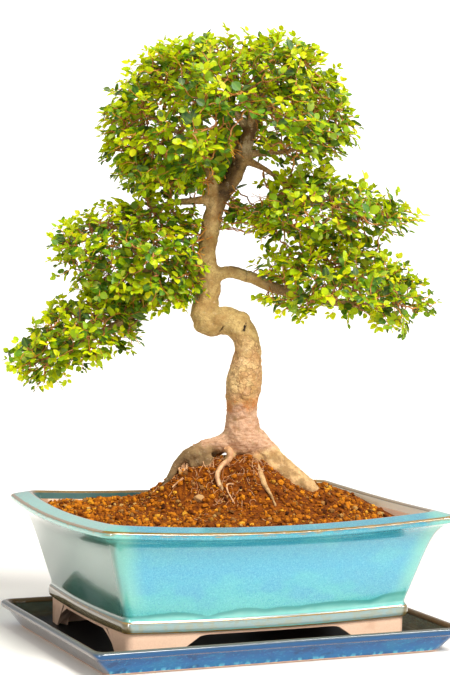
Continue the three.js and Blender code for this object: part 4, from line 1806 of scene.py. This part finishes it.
@dataclass(frozen=True)
class Pad:
    """One cloud of foliage: its outline from the front as (across, up), and its depth."""

    name: str
    outline: tuple[Pair, ...]
    back: float
    half_depth: float
    goals: int
    unevenness: float = 0.22
    lump: float = 0.028
    skin: float = 0.62
    full: float = 0.93
    inner_keep: float = 0.4
    overshoot: float = 1.2

    def centre(self) -> Vector:
        """The middle of the outline."""
        return sum((Vector(p) for p in self.outline), Vector((0, 0))) / len(self.outline)

    def share(self, place: Vector) -> float:
        """How far out a place is.

        Args:
            place: A place in the tree's frame.

        Returns:
            A number from 0 in the pad's middle to 1 at its surface.
        """
        centre = self.centre()
        offset = Vector((place.x, place.z)) - centre
        room = self.half_depth * (1 + self.unevenness * noise.noise(place * self.lump))
        deep = (place.y - self.back) / room
        flat = 0.0
        corners = [Vector(p) - centre for p in self.outline]
        for start, end in zip(corners, corners[1:] + corners[:1]):
            turn = start.cross(end)
            first, second = offset.cross(end) / turn, start.cross(offset) / turn
            if first >= 0 and second >= 0:
                flat = first + second
        return math.hypot(flat, deep)

    def random_goals(self, rng: random.Random) -> list[Vector]:
        """Places for the shoots' ends, most of them near the surface.

        Args:
            rng: The source of chance.

        Returns:
            Places in the tree's frame.
        """
        across, up = zip(*self.outline)
        result = []
        while len(result) < self.goals:
            place = Vector((
                rng.uniform(min(across), max(across)),
                self.back + rng.uniform(-self.overshoot, self.overshoot) * self.half_depth,
                rng.uniform(min(up), max(up)),
            ))
            share = self.share(place)
            keep = 1.0 if share > self.skin else self.inner_keep
            if share < self.full and rng.random() < keep and not in_window(place):
                result.append(place)
        return result


PADS = (
    Pad("crown", ((-114, 421), (-103, 452), (-84, 476), (-58, 491), (-27, 499), (22, 501),
                  (62, 496), (87, 476), (100, 449), (109, 419), (90, 396), (57, 395),
                  (24, 405), (-25, 365), (-64, 364), (-84, 369), (-103, 392)), 0, 84, 1560),
    Pad("left_middle", ((-149, 329), (-136, 345), (-99, 360), (-50, 368), (-15, 344),
                        (-20, 291), (-40, 273), (-68, 277), (-115, 281), (-143, 309)), -4, 56, 680),
    Pad("left_low", ((-181, 218), (-172, 247), (-143, 276), (-98, 285), (-69, 282), (-70, 251),
                     (-98, 235), (-125, 231), (-155, 210)), -4, 44, 360),
    Pad("right_upper", ((-10, 351), (3, 361), (16, 376), (57, 389), (107, 382), (140, 365),
                        (165, 350), (141, 341), (86, 332), (36, 336), (6, 336)), 2, 54, 560),
    Pad("right_low", ((19, 314.5), (58, 331), (116, 331), (149, 306), (178, 279), (150, 261),
                      (88, 283), (52, 268), (24, 279)), -4, 50, 470),
)


@dataclass
class Canopy:
    """All the foliage: twigs from the limbs, shoots at their ends, and leaves along the shoots."""

    rng: random.Random = field(default_factory=lambda: random.Random(11))
    internode: float = 3.1
    leaves_a_shoot: tuple[int, int] = (5, 7)
    facing: float = 0.75
    lowest: float = 228.0
    spurs: float = 0.2
    sway: float = 0.22
    sag: float = 0.04
    radii: Triple = (0.36, 0.34, 0.12)

    def build(self) -> None:
        """Grows the twigs and hangs the leaves on them."""
        wood = merged_copy("tree")
        starts = [in_tree_frame(v.co) for v in wood.verts if v.co.z > self.lowest]
        wood.free()
        goals = [goal for pad in PADS for goal in pad.random_goals(self.rng)]
        growth = Branching()
        growth.grow(starts, goals, self.rng)
        strands = growth.strands(lambda load: 0.42 + 0.17 * math.sqrt(min(load, 60)))
        turned = [[(TREE_TURN @ place, radius) for place, radius in s] for s in strands]
        tubes("twigs", turned, 6, TwigFinish("twig_bark", tone(132, 74, 20), tone(216, 146, 62)))
        shoots, leaves = self._shoots(growth)
        shoot_finish = TwigFinish("shoot_bark", tone(196, 106, 14), tone(232, 164, 44))
        tubes("shoots", shoots, 4, shoot_finish)
        shapes = [shape.mesh() for shape in LEAF_SHAPES]
        for pad in PADS:
            name = f"leaves_{pad.name}"
            mesh = joined_copies(name, shapes, leaves[pad.name], ("age", "tint"))
            make_piece(name, mesh, LeafFinish(), [f"foliage_{pad.name}"], 35)

    def _shoots(self, growth: Branching) -> tuple[list[Strand], dict[str, list[Copy]]]:
        """Adds a shoot at each twig's end, with leaves along it and along the last of the twig.

        Args:
            growth: The grown twigs.

        Returns:
            The shoots' strands, and the leaves of each pad.
        """
        rng = self.rng
        shoots: list[Strand] = []
        leaves: dict[str, list[Copy]] = {pad.name: [] for pad in PADS}
        for index, place in enumerate(growth.places):
            parent = growth.parents[index]
            if parent < 0:
                continue
            pad = min(PADS, key=lambda p: p.share(place))
            room = max(0.0, 0.97 - pad.share(place)) * pad.half_depth
            heading = (place - growth.places[parent]).normalized()
            if growth.children[index]:
                if rng.random() < self.spurs:
                    self._hang_spur(leaves[pad.name], place, heading)
                continue
            centre = Vector((pad.centre().x, pad.back, pad.centre().y))
            outward = (place - centre).normalized()
            lift = UP * rng.uniform(0.0, 0.6) if outward.z > -0.3 else -UP * rng.uniform(0, 0.3)
            heading = (heading * 0.7 + outward * 0.8 + lift).normalized()
            # More shoots are made young, with yellow leaves, towards the top and the left of a pad:
            # partly new growth at the outside, partly painted backlight.
            is_young_and_backlit = rng.random() < 0.55 + 0.3 * outward.z - 0.15 * outward.x
            count = rng.randint(*self.leaves_a_shoot)
            room += rng.uniform(0, 6)
            back_up = int(clamped(count - room / self.internode, 0, count - 2))
            path = self._path_back(growth, index, back_up)
            walker = Vector(place)
            first, second, taper = self.radii
            strand = [(TREE_TURN @ walker, first)]
            for step in range(count - back_up):
                heading = (heading + jitter(rng, self.sway) - UP * self.sag).normalized()
                walker = walker + heading * self.internode
                path.append((Vector(walker), Vector(heading)))
                strand.append((TREE_TURN @ walker, second - taper * step / count))
            shoots.append(strand)
            self._hang_leaves(leaves[pad.name], path, outward * self.facing, is_young_and_backlit)
        return shoots, leaves

    @staticmethod
    def _path_back(growth: Branching, index: int, count: int) -> list[tuple[Vector, Vector]]:
        """The last stretch of a twig.

        Args:
            growth: The grown twigs.
            index: The twig's end.
            count: How many places to go back.

        Returns:
            The places, each with the twig's direction there.
        """
        path = []
        while count > 0 and growth.parents[index] >= 0:
            parent = growth.parents[index]
            heading = (growth.places[index] - growth.places[parent]).normalized()
            path.append((Vector(growth.places[index]), heading))
            index = parent
            count -= 1
        return path[::-1]

    def _hang_leaves(
        self, leaves: list[Copy], path: Sequence[tuple[Vector, Vector]], outward: Vector,
        is_young_and_backlit: bool,
    ) -> None:
        """Hangs leaves on alternate sides of a shoot, smaller and younger towards its end.

        Args:
            leaves: The pad's leaves, which they are added to.
            path: The shoot's places and its direction at each.
            outward: How far and which way the leaves lean out of the pad.
            is_young_and_backlit: True for a new shoot with yellow leaves. These stand more at a
                pad's top and left, partly as painted backlight.
        """
        rng = self.rng
        lean = outward + jitter(rng, 0.35)
        side_sign = rng.choice((-1, 1))
        last = len(path) - 1
        for step, (place, heading) in enumerate(path):
            fresh = step / max(last, 1)
            age = clamped(fresh * 0.9 - 0.25 + rng.gauss(0, 0.12) + (0.45 if is_young_and_backlit else -0.25))
            size = rng.uniform(7.4, 11.8) * (1.0 - 0.36 * fresh)
            self._hang(leaves, place, heading, side_sign, lean, size, age)
            side_sign = -side_sign
        place, heading = path[-1]
        age = 0.9 if is_young_and_backlit else 0.35
        self._hang(leaves, place, heading, 0, lean, rng.uniform(4.2, 6.4), age)

    def _hang_spur(self, leaves: list[Copy], place: Vector, heading: Vector) -> None:
        """Hangs a leaf or two on older wood.

        Args:
            leaves: The pad's leaves, which they are added to.
            place: Where they grow.
            heading: The twig's direction there.
        """
        rng = self.rng
        lean = jitter(rng, 0.4)
        for _ in range(rng.randint(1, 2)):
            side = rng.choice((-1, 1))
            age = 0.8 if rng.random() < 0.25 else 0.1
            self._hang(leaves, place, heading, side, lean, rng.uniform(5.5, 9), age)

    def _hang(
        self, leaves: list[Copy], place: Vector, heading: Vector, side_sign: int, lean: Vector,
        size: float, age: float,
    ) -> None:
        """Places one leaf.

        Args:
            leaves: The pad's leaves, which it is added to.
            place: Where its stalk leaves the shoot, in the tree's frame.
            heading: The shoot's direction there.
            side_sign: The side it stands on, or 0 at the shoot's end.
            lean: How the shoot's leaves lean away from level.
            size: Its length.
            age: 0 for a mature leaf, 1 for a young one.
        """
        rng = self.rng
        upward = (UP + lean + jitter(rng, 0.28)).normalized()
        side = heading.cross(upward).normalized() * side_sign
        along = (heading * 0.55 + side * 0.85 + UP * 0.12).normalized()
        normal = (upward - along * upward.dot(along)).normalized()
        across = along.cross(normal)
        base = place + along * 0.9
        tip = base + along * size
        if in_window((base + tip) / 2):
            return
        turn = Matrix((across * rng.uniform(0.88, 1.12), along, normal)).transposed()
        matrix = Matrix.Translation(TREE_TURN @ base) @ (TREE_TURN @ turn * size).to_4x4()
        matrix[3][3] = 1.0
        tint = clamped(rng.gauss(0.46, 0.34))
        leaves.append(Copy(rng.randrange(len(LEAF_SHAPES)), matrix, (age, tint)))


# Soil


@dataclass
class SoilBed:
    """The soil: a low dome that heaps up under the roots, with crumbs lying on it."""

    pot: Pot
    wood: BVHTree
    at_wall: float = 104.5
    dome: float = 6.5
    heap: float = 39.0
    heap_across: float = 3.0
    heap_half_width: float = 60.0
    heap_front: float = 29.0
    heap_back: float = 38.0
    hollow: Quad = (118.0, -80.0, 5.0, 48.0)
    swells: tuple[Quad, ...] = (
        (0.0, -17.0, 5.5, 19.0), (16.0, -20.0, 5.0, 17.0), (114.0, 66.0, 10.0, 58.0),
        (77.0, -29.0, 9.0, 19.0), (83.0, -25.0, 5.5, 11.0),
    )
    clear: float = 0.45
    depth_marks: tuple[float, ...] = (43.0, 57.0, 79.0, 94.0)
    rings: int = 90
    crumbs: int = 7600
    seed: int = 5
    surface: BVHTree | None = None

    def height(self, x: float, y: float, share: float) -> float:
        """The height of the soil.

        Args:
            x: Where the place is along the pot.
            y: Where it is across the pot.
            share: Its share of the way out to the wall.

        Returns:
            The height, in millimetres.
        """
        place = in_tree_frame(Vector((x, y, 0)))
        dome = self.dome * (1 - share**4)
        wide = (abs(place.x - self.heap_across) / self.heap_half_width) ** 3.5
        deep = (abs(place.y) / (self.heap_front if place.y < 0 else self.heap_back)) ** 2.4
        sunk_x, sunk_y, sunk, radius = self.hollow
        sunk *= math.exp(-((x - sunk_x) ** 2 + (y - sunk_y) ** 2) / radius**2)
        swell = sum(
            extra * math.exp(-((x - at_x) ** 2 + (y - at_y) ** 2) / spread**2)
            for at_x, at_y, extra, spread in self.swells
        )
        return self.at_wall + dome - sunk + swell + self.heap * math.exp(-wide - deep)

    def build(self) -> None:
        """Lofts the soil, cuts the rooms for the drain meshes and scatters its crumbs."""
        plain = {"tint": 0.0}
        loft = Loft(self.pot.floor_ring(self.pot.floor + 0.3), plain)
        for height in self.depth_marks:
            loft.add(self.pot.ring(self.pot.wall_inset(height) + self.clear, height), plain)
        flat = self.pot.ring(self.pot.wall_inset(self.at_wall) + 2 * self.clear, self.at_wall)
        edge = [Vector((p.x, p.y, self.height(p.x, p.y, 1) - 0.3)) for p in flat]
        loft.add(edge, plain)
        for step in range(1, self.rings + 1):
            share = (1 - step / (self.rings + 0.5)) ** 0.9
            ring = []
            for point in edge:
                x, y = point.x * share, point.y * share
                ring.append(Vector((x, y, self.height(x, y, share) + self._relief(x, y))))
            loft.add(ring, plain)
        bm = loft.closed()
        # The bed under the crumbs takes darker tints than most crumbs: partly the soil's own
        # colour, partly painted shade in the gaps between them.
        tint = bm.verts.layers.float["tint"]
        for vert in bm.verts:
            vert[tint] = clamped(0.22 + noise.noise(vert.co * 0.5) * 0.35)
        self.surface = BVHTree.FromBMesh(bm)
        make_piece("soil_bed", self._cut_rooms(bm), SoilFinish(), ["soil"], 60)
        self._scatter()

    @staticmethod
    def _relief(x: float, y: float) -> float:
        """The small unevenness of loose soil."""
        place = Vector((x, y, 0))
        return noise.noise(place * 0.16) * 1.1 + noise.noise(place * 0.38) * 0.6

    def _cut_rooms(self, bm: BMesh) -> BMesh:
        """Cuts the rooms that the drain meshes and their clips lie in.

        Args:
            bm: The soil's mesh, which is used up.

        Returns:
            The soil with its rooms.
        """
        cutter = bmesh.new()
        for node in ("drain_mesh_left", "drain_mesh_right"):
            low, high = (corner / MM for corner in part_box(node))
            size = (high.x - low.x + 0.6, high.y - low.y + 0.6, 5.8)
            centre = Matrix.Translation(((low.x + high.x) / 2, 0, self.pot.floor))
            bmesh.ops.create_cube(cutter, size=1, matrix=centre @ Matrix.Diagonal((*size, 1)))
        rooms = in_scene("rooms", ended(cutter, "rooms"))
        result = with_modifier(bm, "BOOLEAN", operation="DIFFERENCE", object=rooms, solver="EXACT")
        bpy.data.meshes.remove(rooms.data)
        return result

    def ground(self, place: Vector) -> tuple[Vector | None, Vector | None]:
        """The soil's surface and its normal under a place."""
        return self.surface.ray_cast(Vector((place.x, place.y, ABOVE_ALL)), -UP)[:2]

    def _scatter(self) -> None:
        """Lays crumbs of many sizes on the surface."""
        rng = random.Random(self.seed)
        shapes = [self._crumb(index) for index in range(5)]
        copies = []
        inset = self.pot.wall_inset(self.at_wall)
        half_x, half_y = self.pot.length / 2 - inset, self.pot.depth / 2 - inset
        lowest = self.at_wall - self.hollow[2] - 1.5
        while len(copies) < self.crumbs:
            x, y = rng.uniform(-half_x, half_x), rng.uniform(-half_y, half_y)
            place, normal = self.ground(Vector((x, y, 0)))
            if place is None or place.z < lowest:
                continue
            if rng.random() > 0.3 / max(normal.z, 0.3) ** 1.6:
                continue
            size = 1.1 + 4.2 * rng.random() ** 4.5
            turn = Matrix.Rotation(rng.uniform(0, 6.28), 4, "Z") @ Matrix.Rotation(
                rng.uniform(0, 6.28), 4, "X"
            )
            stretch = Matrix.Diagonal((rng.uniform(0.7, 1.5), 1, rng.uniform(0.6, 1), 1))
            seat = place + normal * size * 0.22
            if self.wood.find_nearest(seat, size * 0.6 + 0.2)[0] is not None:
                continue
            matrix = Matrix.Translation(seat) @ turn @ Matrix.Scale(size, 4) @ stretch
            copies.append(Copy(rng.randrange(len(shapes)), matrix, (self._crumb_tint(rng),)))
        crumbs = joined_copies("soil_crumbs", shapes, copies, ("tint",))
        make_piece("soil_crumbs", crumbs, SoilFinish(), (), 0)

    @staticmethod
    def _crumb_tint(rng: random.Random) -> float:
        """A crumb's tint: mostly browns, with some ochre and a few pale ones."""
        if rng.random() < 0.86:
            return clamped(rng.gauss(0.47, 0.19), 0, 0.9)
        return rng.uniform(0.9, 1.0)

    @staticmethod
    def _crumb(index: int) -> Mesh:
        """An uneven lump of twenty faces, a unit across.

        Args:
            index: Which of the lumps it is.

        Returns:
            Its mesh.
        """
        bm = bmesh.new()
        bmesh.ops.create_icosphere(bm, subdivisions=1, radius=0.5)
        for vert in bm.verts:
            vert.co *= 1 + 0.45 * noise.noise(vert.co * 3 + Vector((index * 9, 0, 0)))
        return ended(bm, "crumb_shape")


@dataclass
class LooseThings:
    """The pale pebble and the thin roots that lie on the heap."""

    view: Viewpoint
    soil: SoilBed
    wood: BVHTree
    curl_pixels: tuple = ((233.6, 485.0), (229.8, 483.9), (226.6, 485.8), (226.9, 489.6),
                          (228.6, 493.6), (231.3, 498.2), (234.6, 504.3))
    stub_pixels: tuple = ((183.4, 478.6), (180.6, 481.0), (176.6, 484.4), (172.6, 487.7))
    hair_pixels: tuple = (
        ((212.8, 457.4), (213.6, 463.0), (213.2, 469.6)),
        ((194.0, 519.6), (200.6, 520.9), (206.4, 521.8)),
        ((262.0, 519.6), (266.4, 521.6), (270.6, 523.4)),
        ((203.0, 461.2), (204.6, 466.0), (208.0, 471.5)),
    )
    centre_pixels: tuple = ((228.0, 447.0), (231.6, 455.0), (226.5, 462.0), (219.5, 468.5),
                            (216.6, 477.0), (220.6, 486.0))
    fibres: int = 240
    fibre_heap: Quad = (4, 24, -10, 16)
    fibre_step: float = 1.7
    hanging: int = 72
    hanging_steps: int = 6

    def build(self) -> None:
        """Makes the pebble and the roots."""
        self._pebble()
        lying = [self._lying(self.curl_pixels, 0.95, 0.45), self._lying(self.stub_pixels, 1.0, 0.7)]
        lying += [self._lying(pixels, 0.35, 0.25) for pixels in self.hair_pixels]
        lying.append(self._lying(self.centre_pixels, 2.9, 1.5))
        finish = TwigFinish("root_skin", tone(176, 124, 78), tone(222, 174, 122))
        tubes("thin_roots", lying + self._hanging(), 8, finish)
        fibre_finish = TwigFinish("root_fibre", tone(150, 92, 44), tone(214, 158, 100))
        tubes("root_fibres", self._fibres(), 4, fibre_finish)

    def _pebble(self) -> None:
        """The pebble, as an uneven stone where the CAD has it."""
        low, high = (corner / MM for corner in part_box("pale_stone"))
        bm = bmesh.new()
        bmesh.ops.create_icosphere(bm, subdivisions=4, radius=0.5)
        for vert in bm.verts:
            lump = noise.noise(vert.co * 2.6) * 0.3 + noise.noise(vert.co * 9) * 0.08
            vert.co *= 1 + lump
        size = high - low
        bmesh.ops.scale(bm, vec=size, verts=bm.verts)
        bmesh.ops.translate(bm, vec=(low + high) / 2, verts=bm.verts)
        make_piece("pale_pebble", bm, StoneFinish(), ["pale_stone"], 180)

    def _lying(self, pixels: Sequence[Pair], thick: float, thin: float) -> Strand:
        """A root that lies on the soil where the photograph shows it.

        Args:
            pixels: Its course in the photograph.
            thick: Its radius at the start, in millimetres.
            thin: Its radius at the end.

        Returns:
            Its (place, radius) points.
        """
        strand = []
        pixels = softened(pixels)
        for index, pixel in enumerate(pixels):
            hits = [self.view.hit(surface, *pixel) for surface in (self.soil.surface, self.wood)]
            met = [hit for hit in hits if hit[0] is not None]
            place, normal = min(met, key=lambda hit: (hit[0] - self.view.place).length)
            radius = blend(thick, thin, index / (len(pixels) - 1))
            strand.append((place + normal * (radius * 0.5 + 0.4), radius))
        return strand

    def _fibres(self) -> list[Strand]:
        """Short root fibres strewn over the heap.

        Returns:
            Strands of (place, radius) points.
        """
        rng = random.Random(8)
        mid_across, wide, mid_back, deep = self.fibre_heap
        strands = []
        while len(strands) < self.fibres:
            place = in_pot_frame(rng.gauss(mid_across, wide), rng.gauss(mid_back, deep), ABOVE_ALL)
            turn, bend = rng.uniform(0, 2 * math.pi), rng.gauss(0, 0.35)
            radius = rng.uniform(0.14, 0.3)
            strand = []
            for _ in range(rng.randint(4, 7)):
                low, normal = self.soil.ground(place)
                if low is None:
                    break
                strand.append((low + normal * rng.uniform(0.3, 1.3), radius))
                place = place + Vector((math.cos(turn), math.sin(turn), 0)) * self.fibre_step
                turn += bend + rng.gauss(0, 0.3)
            if len(strand) > 2:
                strands.append(strand)
        return strands

    def _hanging(self) -> list[Strand]:
        """Fine roots between the left root and the heap under it.

        Returns:
            Strands of (place, radius) points.
        """
        rng = random.Random(3)
        strands = []
        for _ in range(self.hanging):
            across, back = rng.uniform(-38, -20), rng.uniform(-12, -3)
            low = self.soil.ground(in_pot_frame(across, back, 0))[0]
            top_at = in_pot_frame(across + rng.uniform(-3, 5), rng.uniform(-6, -2), 0)
            top = self.wood.ray_cast(Vector((top_at.x, top_at.y, low.z - 4)), UP)[0]
            if top is None or not 1 < top.z - low.z < 26:
                continue
            radius = rng.uniform(0.3, 0.8)
            strand = []
            for step in range(self.hanging_steps + 1):
                share = step / self.hanging_steps
                inner = 0 < share < 1
                sway = Vector((rng.gauss(0, 0.5), rng.gauss(0, 0.5), 0)) * inner
                place = (top + UP).lerp(low - UP, share) + sway
                strand.append((place, blend(radius, radius * 0.6, share)))
            strands.append(strand)
        return strands


# Studio


@dataclass
class Studio:
    """A pale floor, soft lights and the photograph's camera."""

    view: Viewpoint
    floor_size: float = 14.0
    surround: float = 0.52
    sun_power: float = 3.1
    sun_spread: float = 26.0
    sun_from: Triple = (0.3, -1.0, 1.2)
    gloss: float = 26.0
    exposure: float = 0.5
    seen_surround: float = 1.1
    aim: Triple = (0.0, 0.0, 0.1)

    def build(self) -> None:
        """Makes the floor, the lights and the camera."""
        bm = bmesh.new()
        bmesh.ops.create_grid(bm, x_segments=8, y_segments=8, size=self.floor_size / 2)
        floor = in_scene("floor", ended(bm, "floor"))
        floor.data.materials.append(FloorFinish().material())
        self._sky()
        self._sun()
        self._strip("gloss_right", (1.3, -0.9, 1.3), (0.25, 1.6))
        self._strip("gloss_left", (-1.5, -1.5, 1.0), (0.2, 1.6))
        self._strip("gloss_top", (0.0, -1.6, 1.9), (2.2, 0.16))
        self.view.shoot()
        settings = bpy.context.scene.view_settings
        settings.view_transform = "Standard"
        settings.exposure = self.exposure

    def _sky(self) -> None:
        """An even white surround, which the camera sees at full strength."""
        world = bpy.data.worlds.new("surround")
        bpy.context.scene.world = world
        world.use_nodes = True
        nodes, links = world.node_tree.nodes, world.node_tree.links
        background = nodes["Background"]
        background.inputs["Color"].default_value = (1.0, 0.985, 0.965, 1)
        path = nodes.new("ShaderNodeLightPath")
        level = nodes.new("ShaderNodeMapRange")
        level.inputs["To Min"].default_value = self.surround
        level.inputs["To Max"].default_value = self.seen_surround
        links.new(path.outputs["Is Camera Ray"], level.inputs["Value"])
        links.new(level.outputs["Result"], background.inputs["Strength"])

    def _hang(self, light: Light, place: Vector, towards: Vector) -> Object:
        """Places a light so that it faces a point."""
        lamp = in_scene(light.name, light)
        lamp.location = place
        lamp.rotation_euler = (towards - place).to_track_quat("-Z", "Y").to_euler()
        return lamp

    def _sun(self) -> None:
        """A soft sun from the right, the front and above, as strong at the floor's far end."""
        light = bpy.data.lights.new("sun", "SUN")
        light.energy = self.sun_power
        light.angle = math.radians(self.sun_spread)
        light.color = (1.0, 0.98, 0.94)
        self._hang(light, Vector(self.sun_from), Vector())

    def _strip(self, name: str, place: tuple[float, ...], size: Pair) -> None:
        """A long soft light that only shows as a highlight on what is glossy.

        Args:
            name: Its name.
            place: Where it hangs, in metres.
            size: Its width and height.
        """
        light = bpy.data.lights.new(name, "AREA")
        light.shape = "RECTANGLE"
        light.size, light.size_y = size
        light.energy = self.gloss * math.pi * size[0] * size[1]
        lamp = self._hang(light, Vector(place), Vector(self.aim))
        lamp.visible_diffuse = False
        lamp.visible_transmission = False


def dress_drain_parts() -> None:
    """Gives the drain meshes and their clips, which the CAD shapes, their finishes."""
    plastic, wire = PlasticFinish().material(), WireFinish().material()
    for side in ("left", "right"):
        frame["nodes"][f"drain_mesh_{side}"].data.materials[0] = plastic
        frame["nodes"][f"mesh_clip_{side}"].data.materials[0] = wire
        log.info("drain mesh and clip, %s: dressed", side)


def main() -> None:
    """Builds the bonsai and its studio in order."""
    view = Viewpoint()
    Studio(view).build()
    pot = Pot()
    pot.build()
    Tray().build()
    dress_drain_parts()
    wood = Tree().build()
    soil = SoilBed(pot, wood)
    soil.build()
    LooseThings(view, soil, wood).build()
    Canopy().build()


if __name__ == "__main__":
    logging.basicConfig(level=logging.INFO, format="%(relativeCreated)d ms %(message)s")
    main()
